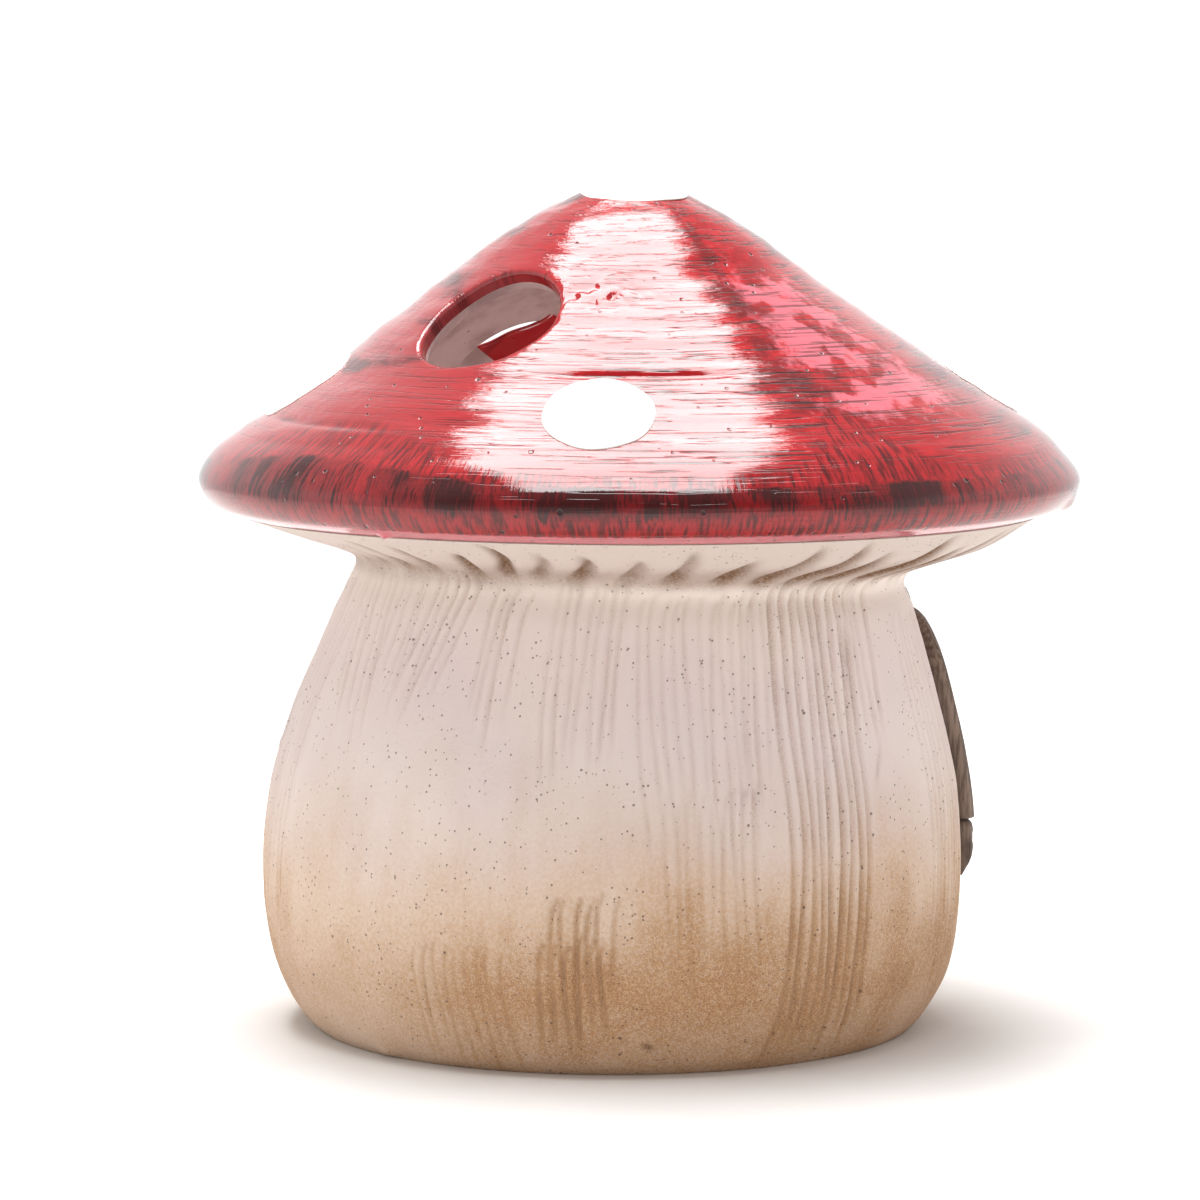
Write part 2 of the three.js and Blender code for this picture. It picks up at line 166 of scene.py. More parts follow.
def stitch(bm, loopA, angleA, loopB, angleB, slot=0, outward=True):
    # joins two rings that have different numbers of points
    angleA, angleB = np.unwrap(angleA), np.unwrap(angleB)
    start = int(np.argmin(np.abs(wrapped(angleB - angleA[0]))))
    loopB, angleB = loopB[start:] + loopB[:start], np.roll(angleB, -start)
    angleB = angleA[0] + wrapped(angleB[0] - angleA[0]) + np.append(0, np.cumsum(np.diff(angleB) % (2 * np.pi)))
    loopA, loopB = loopA + loopA[:1], loopB + loopB[:1]
    angleA, angleB = np.append(angleA, angleA[0] + 2 * np.pi), np.append(angleB, angleB[0] + 2 * np.pi)
    i = j = 0
    while i < len(loopA) - 1 or j < len(loopB) - 1:
        if j == len(loopB) - 1 or (i < len(loopA) - 1 and angleA[i + 1] <= angleB[j + 1]):
            corners = (loopA[i], loopB[j], loopA[i + 1])
            i += 1
        else:
            corners = (loopA[i], loopB[j], loopB[j + 1])
            j += 1
        bm.faces.new(corners if outward else corners[::-1]).material_index = slot


def finishPiece(bm, name, materials, node, attributes=None, turnFaces=False):
    if turnFaces:
        bmesh.ops.recalc_face_normals(bm, faces=bm.faces)
    mesh = bpy.data.meshes.new(name)
    bm.to_mesh(mesh)
    bm.free()
    for key, values in (attributes or {}).items():
        mesh.attributes.new(key, "FLOAT", "POINT").data.foreach_set("value", np.asarray(values, np.float32))
    mesh.shade_smooth()
    piece = bpy.data.objects.new(name, mesh)
    scene.collection.objects.link(piece)
    for material in materials:
        mesh.materials.append(material)
    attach(piece, "root")
    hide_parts(node)
    print("made", name, len(mesh.polygons), "faces")


# shader tools

def tint(r, g, b):
    # a screen colour, 0 to 255, as the linear value that the shader wants
    return tuple((c / 255 / 12.92 if c < 11 else ((c / 255 + 0.055) / 1.055) ** 2.4) for c in (r, g, b)) + (1.0,)


class Field:
    # the output of a shader node; working with fields adds the nodes that it takes
    def __init__(self, tree, socket):
        self.tree, self.socket = tree, socket

    def node(self, kind, inputs, output=0, **settings):
        # a new node with its inputs filled in, as one of its outputs
        n = self.tree.nodes.new("ShaderNode" + kind)
        for key, value in settings.items():
            setattr(n, key, value)
        for key, value in inputs.items():
            if isinstance(value, Field):
                self.tree.links.new(value.socket, n.inputs[key])
            else:
                n.inputs[key].default_value = value
        return Field(self.tree, n.outputs[output])

    def output(self, key):
        # another output of the same node
        return Field(self.tree, self.socket.node.outputs[key])

    def calc(self, operation, other, clamp=False):
        return self.node("Math", {0: self, 1: other}, operation=operation, use_clamp=clamp)

    def __add__(self, other):
        return self.calc("ADD", other)

    def __sub__(self, other):
        return self.calc("SUBTRACT", other)

    def __mul__(self, other):
        return self.calc("MULTIPLY", other)

    def left(self):
        # what is left of 1
        return self.node("Math", {0: 1.0, 1: self}, operation="SUBTRACT", use_clamp=True)

    def vector(self, operation, other=(0, 0, 0), scale=1.0):
        return self.node("VectorMath", {0: self, 1: other, 3: scale}, operation=operation)

    def fromMesh(self, name):
        return self.node("Attribute", {}, "Fac", attribute_name=name)

    def spread(self, low, high, outLow=0.0, outHigh=1.0):
        inputs = dict(enumerate((self, low, high, outLow, outHigh)))
        return self.node("MapRange", inputs, interpolation_type="SMOOTHSTEP")

    def ragged(self, texture, amount, low, high, most):
        # a soft mask whose edges break up along a texture
        return (self + (texture - 0.5) * amount).spread(low, high, 0.0, most)

    def noise(self, scale, detail=3.0, rough=0.55):
        return self.node("TexNoise", {"Vector": self, "Scale": scale, "Detail": detail, "Roughness": rough}, "Fac")

    def roundAndDown(self, turns, along, share):
        # from a direction off the axis: coordinates round it and down a profile, at scales of their own
        x = self.node("SeparateXYZ", {0: self.vector("SCALE", scale=turns)})
        return self.node("CombineXYZ", {0: x, 1: x.output(1), 2: along * share})

    def pinholes(self, scale, size, chance):
        # small round pits, where only some cells have one
        distance = self.node("TexVoronoi", {"Vector": self, "Scale": scale}, "Distance")
        cell = self.node("SeparateColor", {0: distance.output("Color")})
        pit = distance.calc("DIVIDE", cell.output(1) * size).left()
        return cell.calc("LESS_THAN", chance) * pit.spread(0.0, 0.5)


def layered(colour, *layers):
    # colours laid one over another, each by its share
    for share, over in layers:
        colour = share.node("Mix", {0: share, 6: colour, 7: over}, 2, data_type="RGBA")
    return colour


def makeFinish(name, look, paint):
    # from places in mm, paint works out the colour, then the height of the fine bumps, then the roughness
    material = bpy.data.materials.new(name)
    material.use_nodes = True
    tree = material.node_tree
    shader = tree.nodes["Principled BSDF"]
    shader.inputs["Roughness"].default_value = look["roughness"]
    shader.inputs["IOR"].default_value = look.get("ior", 1.5)
    coords = Field(tree, tree.nodes.new("ShaderNodeTexCoord").outputs["Object"])
    for key, field in zip(("Base Color", "Normal", "Roughness"), paint(coords.vector("SCALE", scale=1 / mm))):
        if key == "Normal":
            distance, strength = look["relief"]
            field = field.node("Bump", {"Strength": strength, "Distance": distance, "Height": field}, "Normal")
        tree.links.new(field.socket, shader.inputs[key])
    return material


# finishes; relief is the depth of the fine bumps in metres, and their strength

redLook = {
    "deep": tint(104, 8, 13), "bright": tint(172, 20, 27), "pink": tint(212, 110, 122), "soot": tint(34, 12, 12),
    "reflectionVeil": tint(150, 78, 80), "stainAndShade": tint(60, 14, 16), "line": tint(80, 6, 10),
    "strokeDark": tint(62, 9, 12), "strokeRed": tint(166, 25, 30),
    "roughness": 0.05, "polish": (0.03, 0.07), "ior": 1.58, "relief": (0.00012, 0.6),
}


def paintRed(inMm):
    along, rim = inMm.fromMesh("along"), inMm.fromMesh("rim")
    away = inMm.vector("MULTIPLY", (1, 1, 0)).vector("NORMALIZE")
    # brushed rings: long around the cap, narrow down its slope
    rings = away.roundAndDown(5.0, along, 0.75)
    wideRings, fineRings = rings.noise(1.0, 4.0, 0.6), rings.noise(3.1, 3.0, 0.6)
    hairLines = away.roundAndDown(3.4, along, 1.7).noise(1.0, 2.0, 0.5)
    # bristle strokes: long down the rim, narrow around it
    bristles = away.roundAndDown(70.0, along, 0.12).noise(1.0, 4.0, 0.65)
    fineBristles = away.roundAndDown(120.0, along, 0.22).noise(1.0, 3.0, 0.6)
    mottles = away.roundAndDown(8.0, along, 0.3).noise(1.0, 5.0, 0.65)
    flecks, lumps = inMm.noise(0.6, 5.0, 0.68), inMm.noise(0.27, 2.0, 0.5)

    bristle = (bristles + fineBristles) * 0.5
    strokes = layered(redLook["strokeDark"], (bristle.spread(0.4, 0.58), redLook["strokeRed"]))
    hairs = hairLines.spread(0.56, 0.62) * inMm.fromMesh("lined")
    pits = inMm.pinholes(0.42, 0.26, 0.35)
    colour = layered(
        redLook["bright"],
        (mottles.spread(0.6, 0.4) * inMm.fromMesh("mottle"), redLook["deep"]),
        (fineRings.spread(0.52, 0.7) * 0.4, redLook["line"]),
        (rim * 0.85, strokes),
        # a pink veil on the left and far right: painted reflection of the bright surroundings
        (inMm.fromMesh("reflectionHaze"), redLook["reflectionVeil"]),
        # pink blotches, and along the lower edge of the rim a painted reflection of the floor
        (inMm.fromMesh("pinkAndFloorReflection").ragged(flecks, 1.5, 0.25, 0.85, 0.8), redLook["pink"]),
        (inMm.fromMesh("stainAndShade").ragged(mottles, 1.1, 0.3, 0.8, 0.85), redLook["stainAndShade"]),
        (inMm.fromMesh("soot").ragged(bristle, 2.6, 0.36, 0.72, 0.92), redLook["soot"]),
        # the fine lines are painted dark, painted shade where they break the reflection; the pinholes are dark too
        (hairs.calc("MAXIMUM", pits) * 0.85, redLook["soot"]),
    )
    height = (wideRings + fineRings * 0.5) * rim.left() + bristles * rim * 0.45
    height = height + lumps * inMm.fromMesh("lumpy") * 2.4 - (pits * 1.5 + hairs * 1.3)
    return colour, height, flecks.spread(0.3, 0.8, *redLook["polish"])


# skirt is a darker cream, painted shade for the underside under the cap
creamLook = {
    "cream": tint(240, 226, 215), "mauve": tint(232, 216, 212), "skirt": tint(212, 196, 187),
    "tan": tint(200, 158, 116), "umber": tint(164, 116, 76), "gill": tint(116, 80, 48), "comb": tint(164, 132, 108),
    "pit": tint(104, 82, 70), "roughness": 0.62, "relief": (0.00022, 0.7),
}


def paintCream(inMm):
    wash, comb = inMm.fromMesh("wash"), inMm.fromMesh("comb")
    patches, grain, speck = inMm.noise(0.045), inMm.noise(1.6, 4.0, 0.65), inMm.noise(3.4, 2.0, 0.5)
    # brown wash settles in the grain and in the combed lines
    settle = grain.spread(0.38, 0.62, 0.8, 1.1) + comb * 0.4
    # the combed grooves are browned: settled wash low down, and painted shade higher up where there is no wash
    combShare = speck.spread(0.4, 0.6, 0.2, 0.55) * wash.spread(0.0, 0.6, 0.6, 1.0)
    # pinholes, crowded in some places
    crowd = inMm.noise(0.07, 2.0).spread(0.38, 0.62, 0.25, 0.8)
    pits = inMm.pinholes(0.5, 0.2, 0.2).calc("MAXIMUM", inMm.pinholes(1.15, 0.3, crowd))
    colour = layered(
        creamLook["cream"],
        (inMm.fromMesh("mauve") * patches.spread(0.25, 0.7, 0.4, 1.0), creamLook["mauve"]),
        # darker cream on the underside of the gills: painted shade under the cap
        (inMm.fromMesh("skirt"), creamLook["skirt"]),
        (wash.calc("MULTIPLY", settle, True), creamLook["tan"]),
        (wash.spread(0.6, 1.05) * speck.spread(0.4, 0.62, 0.1, 0.9), creamLook["umber"]),
        # brown in the gill grooves and the neck: wash lying there, and painted shade
        (inMm.fromMesh("gill").calc("MULTIPLY", grain.spread(0.3, 0.6, 0.7, 1.0), True), creamLook["gill"]),
        (comb.calc("MULTIPLY", combShare, True), creamLook["comb"]),
        (pits * 0.75, creamLook["pit"]),
    )
    return colour, (grain + speck * wash) * 0.5 - pits


whiteLook = {"white": tint(248, 247, 242), "shade": tint(232, 230, 222),
             "roughness": 0.16, "relief": (0.00015, 0.4)}


def paintWhite(inMm):
    patches, pits = inMm.noise(0.35, 4.0), inMm.pinholes(0.55, 0.14, 0.2)
    return layered(whiteLook["white"], (patches.spread(0.45, 0.75), whiteLook["shade"])), patches - pits


woodLook = {"dark": tint(66, 50, 42), "mid": tint(118, 96, 82), "light": tint(150, 128, 112),
            "roughness": 0.66, "relief": (0.0003, 0.6)}


def paintWood(inMm):
    # grain runs up the door
    grain = inMm.vector("MULTIPLY", (1, 1, 0.11)).noise(1.5, 5.0, 0.62)
    colour = layered(
        woodLook["dark"],
        (grain.spread(0.3, 0.66), woodLook["mid"]),
        (inMm.noise(0.16).spread(0.5, 0.75) * 0.55, woodLook["dark"]),
        (inMm.fromMesh("edge") * grain.spread(0.4, 0.6, 0.2, 0.7), woodLook["light"]),
    )
    return colour, grain


ironLook = {"black": tint(38, 33, 31), "rust": tint(92, 62, 46), "roughness": 0.55, "relief": (0.0003, 0.5)}


def paintIron(inMm):
    rust = inMm.noise(0.8, 4.0, 0.6)
    return layered(ironLook["black"], (rust.spread(0.48, 0.72), ironLook["rust"])), rust


# the darkest tone is painted shade, laid on the outer face of the web in the back hole
clayLook = {"clay": tint(200, 172, 168), "shade": tint(168, 138, 134), "pit": tint(104, 84, 82),
            "paintedHoleShade": tint(96, 74, 68), "roughness": 0.75, "relief": (0.0003, 0.5)}


def paintClay(inMm):
    patches, grain, pits = inMm.noise(0.12, 4.0), inMm.noise(1.4), inMm.pinholes(0.4, 0.2, 0.4)
    colour = layered(
        clayLook["clay"],
        (patches.spread(0.35, 0.65), clayLook["shade"]),
        # the outer face of the web is painted dark: painted shade in the hole
        (inMm.fromMesh("paintedHoleShade"), clayLook["paintedHoleShade"]),
        (pits * 0.8, clayLook["pit"]),
    )
    return colour, grain - pits


redGlaze = makeFinish("red glaze", redLook, paintRed)
creamSlip = makeFinish("cream slip", creamLook, paintCream)
whiteGlaze = makeFinish("white glaze", whiteLook, paintWhite)
woodStain = makeFinish("wood stain", woodLook, paintWood)
ironStain = makeFinish("iron stain", ironLook, paintIron)
bareClay = makeFinish("bare clay", clayLook, paintClay)
print("finishes ready")


# cap

capLook = {
    "stations": [(9.0, 151.1, -1.2, 0), (19.1, 146.0, -1.5, 0), (34.1, 135.2, -1.7, 0), (54.6, 120.5, -0.2, 0),
                 (72.1, 108.5, 0.5, 0), (76.6, 104.8, -0.3, 0), (79.8, 99.7, 0, 0), (77.5, 95.7, 0, 0),
                 (73.2, 93.75, 0, 0)],
    "rows": 176, "cols": 500, "innerRows": 40, "innerCols": 120,
    "wall": 4.5, "innerStart": 0.6, "rollRadius": 72.1, "rimInside": (75.3, 99.7),
    # the seat under the rim: its height and inner radius, and the radius and drop of the rings at its edge
    "seatHeight": 94.0, "seatRadius": 66.0, "seatEdge": [(72.6, 0.15), (72.0, 0.0)],
    "ridge": 0.3, "swell": 0.45, "leftSwell": 0.5, "leftPlace": (-68, 36),
    # dents left by the brush: radius, azimuth, half angle, half width, depth, and how much painted shade lies in
    # the dent
    "creases": [(53.8, -0.5, 19.0, 0.85, 0.8, 0.5), (67.5, -62.0, 26.0, 1.1, 0.3, 0.3)],
    # a rough patch in the glaze: radius, azimuth, half width, half height, depth
    "scuff": (35.8, -7.5, 6.5, 3.0, 0.7),
    # runs of glaze at the rim: azimuth, height above its lower edge, half width, half height, rise
    "drips": [(83, 4.5, 5.0, 2.2, 1.1), (-36, 1.2, 1.1, 1.0, 0.8), (20, 1.6, 3.0, 1.2, 0.3),
              (140, 2.0, 2.5, 1.5, 0.6)],
}
holeLook = {
    "radius": 13.0, "roundingSteps": 6, "slideSteps": 8,
    # each hole: radius from the axis, azimuth, rounding outside and inside, depth of glaze, whether a web is left
    "holes": [(41.5, -38.0, 0.9, 1.3, 0.75, False), (52.5, 206.0, 0.9, 0.6, 0.45, True)],
    # the thin web of clay: the way it grows, its edge and the wave in it, where its inner face is bare, and the
    # depth of its middle
    "webTurn": -48.7, "webEdge": -10.0, "webWave": 0.35, "webBare": 4.4, "webMiddle": 0.72,
    # rings down the cut wall: share of the depth, and how far the web draws them across the hole
    "plainWall": [(0.17, 0), (0.33, 0), (0.5, 0), (0.67, 0), (0.83, 0), (1.0, 0)],
    "webWall": [(0.2, 0), (0.4, 0), (0.5, 0), (0.53, 0.15), (0.56, 0.4), (0.59, 0.7), (0.63, 0.93), (0.67, 1),
                (0.77, 1), (0.82, 0.93), (0.87, 0.7), (0.91, 0.4), (0.95, 0.15), (1.0, 0)],
}
# where the tones of the glaze lie: azimuth and half angle
toneLook = {
    "left": (-62, 30), "strip": (29, 8), "right": (46, 15), "farRight": (76, 20), "leftStrokes": (-48, 22),
    "frontStrokes": (31, 7), "rightStrokes": (82, 14), "frontSoot": (5, 16), "frontLines": (12, 16),
}
capLine = makeLine(capLook["stations"])


def capAt(radius):
    # how far down the profile a radius lies, above the widest line
    top = int(np.argmax(capLine["r"]))
    return float(np.interp(radius, capLine["r"][:top], capLine["at"][:top]))


rollAt = capAt(capLook["rollRadius"])
capEnd = float(capLine["at"][-1])
offGlaze, offClay = -20.0, -40.0    # mark points off the brushed outside, and those on the outer face of the web, painted dark as shade in the hole


def creaseAt(crease, at, az):
    radius, azDegrees, halfAngle, halfWidth = crease[:4]
    side = np.abs(wrapped(az - math.radians(azDegrees))) / math.radians(halfAngle)
    return hump(at - capAt(radius), halfWidth) * softStep(1.2, 0.4, side)


def capRise(at, az):
    # brushed rings and soft swells in the clay, long creases, a rough patch, and runs of glaze
    az = wrapped(az)
    ridges = cloud(ringSpace(az, 9, at * 1.7), 5.0, 11, 3) - 0.5
    swells = cloud(ringSpace(az, 14, at * 1.1), 7.0, 12, 2) - 0.5
    swell = capLook["swell"] + capLook["leftSwell"] * about(az, *capLook["leftPlace"])
    rise = capLook["ridge"] * ridges + swell * swells
    rise = rise * (1 - 0.8 * softStep(rollAt - 2, rollAt + 5, at))
    for crease in capLook["creases"]:
        rise = rise - crease[4] * creaseAt(crease, at, az)
    r = readLine(capLine, at, "r")
    radius, azDegrees, wide, tall, depth = capLook["scuff"]
    x, y = wrapped(az - math.radians(azDegrees)) * r, at - capAt(radius)
    chips = softStep(0.44, 0.66, cloud(ringSpace(az, 40, at), 1.7, 17, 2))
    chips = chips * np.exp(-(x / wide) ** 2 - (y / tall) ** 2)
    rise = rise - depth * chips
    for azDegrees, up, wide, tall, lift in capLook["drips"]:
        x, y = wrapped(az - math.radians(azDegrees)) * r, at - capEnd + up
        rise = rise + lift * np.exp(-(x / wide) ** 2 - (y / tall) ** 2)
    return rise


def capPoint(at, az):
    return surfacePoint(capLine, at, az, capRise(at, az))


def capInside(at, az):
    return surfacePoint(capLine, at, az, -capLook["wall"])


class LightHole:
    # a round hole square to the cap, with flat coordinates of its own
    def __init__(self, radius, azDegrees, lip, innerLip, glazed, web):
        self.lip, self.innerLip, self.glazed, self.web = lip, innerLip, glazed, web
        at, az = np.array(capAt(radius)), np.array(math.radians(azDegrees))
        self.centre = surfacePoint(capLine, at, az)
        nr, nz = readLine(capLine, at, "nr", "nz")
        self.axis = np.array([nr * np.sin(az), -nr * np.cos(az), nz])
        self.sideways = np.array([math.cos(az), math.sin(az), 0.0])
        self.down = np.cross(self.sideways, self.axis)

    def flat(self, points):
        d = points - self.centre
        near = np.linalg.norm(d, axis=-1) < 3 * holeLook["radius"]
        a, b = d @ self.down, d @ self.sideways
        return np.where(near, np.hypot(a, b), 99.0), np.arctan2(b, a), d @ self.axis

    def slide(self, surface, at, az, radius, angle):
        # moves points along a surface until they stand over a circle
        for step in range(holeLook["slideSteps"]):
            d = surface(at, az) - self.centre
            at = at + radius * np.cos(angle) - d @ self.down
            az = az + (radius * np.sin(angle) - d @ self.sideways) / readLine(capLine, at, "r")
        return at, az

    def wallRing(self, radius, angle, height, fill=0.0):
        # a ring round the wall, drawn across the hole by the web
        # also says where it is web, and where the web is bare inside
        turn = math.radians(holeLook["webTurn"])
        a, b = radius * np.cos(angle), radius * np.sin(angle)
        across = b * math.cos(turn) - a * math.sin(turn)
        edge = holeLook["webEdge"] + holeLook["webWave"] * np.sin(0.6 * across + 0.5)
        over = np.clip(a * math.cos(turn) + b * math.sin(turn) - edge, 0, None) * fill
        a, b = a - over * math.cos(turn), b - over * math.sin(turn)
        points = self.centre + a[:, None] * self.down + b[:, None] * self.sideways + height[:, None] * self.axis
        return points, over > 0, across > holeLook["webBare"]


holes = [LightHole(*hole) for hole in holeLook["holes"]]


def addShell(bm, surface, ats, cols, inside):
    # the outside or the inside, without the quads over each hole, and with the edge of each gap slid onto a circle
    at, az = ringGrid(ats, cols)
    quads, loops = gridQuads(len(ats), cols), []
    for hole in holes:
        radius = holeLook["radius"] + (hole.innerLip if inside else hole.lip)
        away, _, _ = hole.flat(surface(at, az))
        lost = (away[quads] < radius).any(1)
        edges = {(a, b) for quad in quads[lost].tolist() for a, b in zip(quad, quad[1:] + quad[:1])}
        following = {a: b for a, b in edges if (b, a) not in edges}
        loop = [min(following)]
        for k in range(len(following) - 1):
            loop.append(following[loop[-1]])
        loop = np.array(loop)
        quads = quads[~lost]
        _, angle, _ = hole.flat(surface(at[loop], az[loop]))
        angle = np.sort(np.unwrap(angle))
        even = angle.mean() + (np.arange(len(loop)) - (len(loop) - 1) / 2) * 2 * np.pi / len(loop)
        angle = 0.3 * angle + 0.7 * even    # most of the way to even steps
        at[loop], az[loop] = hole.slide(surface, at[loop], az[loop], radius, angle)
        loops.append((loop, angle))
    # only the points that a quad uses, so that no loose ones are left in the holes
    used = np.unique(quads)
    place = np.full(len(at), -1)
    place[used] = np.arange(len(used))
    verts = addVerts(bm, surface(at[used], az[used]))
    addFaces(bm, verts, place[quads][:, ::-1] if inside else place[quads], int(inside))
    return at, az, verts, used, place, loops


def makeCap():
    bm = bmesh.new()
    cols, innerCols = capLook["cols"], capLook["innerCols"]
    ats = np.linspace(0, capEnd, capLook["rows"])
    at, az, verts, used, place, loops = addShell(bm, capPoint, ats, cols, False)
    ats = np.linspace(capLook["innerStart"], rollAt, capLook["innerRows"])
    inAt, inAz, inVerts, inUsed, inPlace, inLoops = addShell(bm, capInside, ats, innerCols, True)
    alongs, turns = [at[used], np.full(len(inUsed), offGlaze)], [az[used], inAz[inUsed]]

    # each hole: a rounded lip, the cut wall and the rounded inner edge
    for hole, (edge, angle), (inEdge, inAngle) in zip(holes, loops, inLoops):
        loop = [verts[v] for v in place[edge]]
        lip, innerLip, radius, middle = hole.lip, hole.innerLip, holeLook["radius"], holeLook["webMiddle"]
        top = hole.flat(capPoint(at[edge], az[edge]))[2]
        bottom = hole.flat(capInside(inAt[inEdge], inAz[inEdge]))[2]
        bottom = np.interp(angle, inAngle, bottom, period=2 * np.pi)
        quarter = np.linspace(0, math.pi / 2, holeLook["roundingSteps"])
        rings = []
        for t in quarter[1:]:
            points, _, _ = hole.wallRing(radius + lip * (1 - math.sin(t)), angle, top - lip * (1 - math.cos(t)))
            rings.append((points, 0, None))
        # glazed part of the way down, then bare clay, but for glaze that has run over the inside of the web
        for share, fill in holeLook["webWall" if hole.web else "plainWall"]:
            height = (top - lip) * (1 - share) + (bottom + innerLip) * share
            points, webbed, bareSide = hole.wallRing(radius, angle, height, fill)
            slot = np.where(webbed & (share > middle), bareSide, share > hole.glazed)
            rings.append((points, slot, offGlaze if share > middle else offClay if fill else None))
        for t in quarter[1:-1]:
            reach, height = radius + innerLip * (1 - math.cos(t)), bottom + innerLip * (1 - math.sin(t))
            rings.append((hole.wallRing(reach, angle, height)[0], 1, None))
        for points, slot, off in rings:
            loop = addRing(bm, loop, points, slot, False)
            alongs.append(at[edge] if off is None else np.full(len(edge), off))
            turns.append(az[edge] * (off is None))
        stitch(bm, loop, angle, [inVerts[v] for v in inPlace[inEdge]], inAngle, 1, False)

    # the flat seat under the rim, and the closed top under the white spot
    ringAz, inRingAz = az[-cols:], inAz[-innerCols:]
    loop, inLoop = verts[-cols:], inVerts[-innerCols:]
    for radius, drop in capLook["seatEdge"]:
        loop = addRing(bm, loop, levelRing(radius, capLook["seatHeight"] - drop, 0, ringAz))
        alongs.append(at[-cols:])
        turns.append(ringAz)
    for radius, height in (capLook["rimInside"], (capLook["seatRadius"], capLook["seatHeight"])):
        inLoop = addRing(bm, inLoop, levelRing(radius, height, 0, inRingAz), 1, False)
        alongs.append(np.full(innerCols, offGlaze))
        turns.append(inRingAz)
    stitch(bm, loop, ringAz, inLoop, inRingAz, 1)
    bm.faces.new(verts[:cols])
    bm.faces.new(inVerts[:innerCols][::-1]).material_index = 1

    along, turn = np.concatenate(alongs), wrapped(np.concatenate(turns))
    points = np.array([v.co for v in bm.verts]) / mm
    finishPiece(bm, "cap_glazed", [redGlaze, bareClay], "cap", capTones(points, along, turn))


def capTones(points, along, turn):
    # where the brush strokes run down the rim, and how the glaze is stained, blotched or finely lined; with painted
    # reflection on the sides and the rim's lower edge, and painted shade in creases, ring bands and the web
    peak = {name: about(turn, *where) for name, where in toneLook.items()}
    left, strip, farRight = peak["left"], peak["strip"], peak["farRight"]
    leftStrokes, rightStrokes = peak["leftStrokes"], peak["rightStrokes"]
    radius = np.hypot(points[:, 0], points[:, 1])
    right = peak["right"] * softStep(24, 36, radius) * softStep(70, 60, radius)
    behind = softStep(1.75, 2.3, np.abs(turn))
    strokeUp = 9 * leftStrokes + 12 * peak["frontStrokes"] + 4 * rightStrokes + 6 * behind
    sootUp = 5 * leftStrokes + 2 * rightStrokes + 3 * behind
    rim = softStep(rollAt + 3, rollAt + 7.5, along + 1.4 * strokeUp)
    band = softStep(rollAt + 6.5, rollAt + 8.5, along + sootUp) * softStep(rollAt + 17, rollAt + 10, along)
    patches = softStep(0.34, 0.64, cloud(ringSpace(turn, 78, 0.35 * along), 12.0, 21, 3))
    blots = softStep(0.4, 0.66, cloud(ringSpace(turn, 30, along), 7.0, 22, 3))
    bands = softStep(0.42, 0.66, cloud(ringSpace(turn, 10, 1.2 * along), 9.0, 24, 2))
    pinkBlots = softStep(0.34, 0.64, cloud(points, 5.0, 23, 3))
    brush = 0.2 * peak["frontStrokes"] * softStep(rollAt - 12, rollAt - 5, along)
    # stain in blots beside the highlight and behind; on the left and far right it lies in broad ring bands, partly
    # brownish patches and partly painted shade of the ring ridges
    stainAndShade = (0.5 * strip + 0.45 * behind + 0.3 * right) * blots + (0.6 * left + 0.45 * farRight) * (0.3 + bands)
    # a dark line in each crease: painted shade
    creased = sum(crease[5] * creaseAt(crease, along, turn) for crease in capLook["creases"])
    pink = (1.15 * right + 0.45 * behind) * (0.2 + pinkBlots) * (1 - 0.6 * rim)
    dark = np.clip(0.35 - 0.3 * left + 0.5 * strip + 0.3 * right + 0.3 * behind, 0, 1)
    lines = np.clip(0.7 + peak["frontLines"] * softStep(40, 54, along), 0, 1) * (1 - 0.8 * rim) * (1 - 0.7 * left)
    return {
        "along": along, "rim": rim,
        "soot": np.clip(band * (0.3 + 0.5 * patches + 0.25 * peak["frontSoot"]) + brush, 0, 0.75),
        "stainAndShade": np.clip(stainAndShade * (1 - rim) + creased, 0, 1),
        # pink blotches; the pink band at the lower edge of the rim is a painted reflection of the floor
        "pinkAndFloorReflection": pink + softStep(capEnd - 4.5, capEnd - 3, along),
        # painted reflection: a pink veil on the left and far right, thinner on the rim
        "reflectionHaze": np.clip(0.6 * left + 0.3 * farRight, 0, 1) * (1 - 0.6 * rim),
        "mottle": dark * (along != offGlaze),
        "lumpy": np.clip(0.12 + right + 0.7 * behind + 0.6 * left, 0, 1) * (1 - rim),
        "lined": lines * (along > offGlaze),
        # painted shade: the outer face of the web, darkened as if in the hole's shadow
        "paintedHoleShade": (along == offClay) * 1.0,
    }


makeCap()


# white spots

spotLook = {
    "radius": 9.75, "sides": 96, "wobble": 0.016, "firstSeed": 40,
    # share of the radius and rise, from the underside round the edge to the crown
    "profile": [(0.1, -0.12), (0.5, -0.12), (0.97, -0.12), (1.0, 0.0), (1.0, 0.1), (0.985, 0.22), (0.955, 0.32),
                (0.91, 0.39), (0.85, 0.45), (0.75, 0.52), (0.6, 0.6), (0.4, 0.68), (0.2, 0.72), (0.06, 0.73)],
    "spots": [("front_spot", 63.0, -7.0), ("right_spot", 60.0, 92.0), ("left_spot", 60.0, -83.0),
              ("back_spot", 60.0, 176.0)],
}
apexLook = {
    "sides": 120, "lean": -1.3, "underRadii": (2.0, 8.6), "underHeight": 151.0,
    # share of the way to the edge of the glaze, and rise
    "skirt": [(0.5, -0.12), (1, -0.12), (1.05, 0.03), (1.02, 0.16), (0.94, 0.28), (0.6, 0.38), (0.2, 0.42)],
    "domeRadius": 8.7, "domeBase": 151.5, "domeHeight": 2.35, "rings": 14,
}


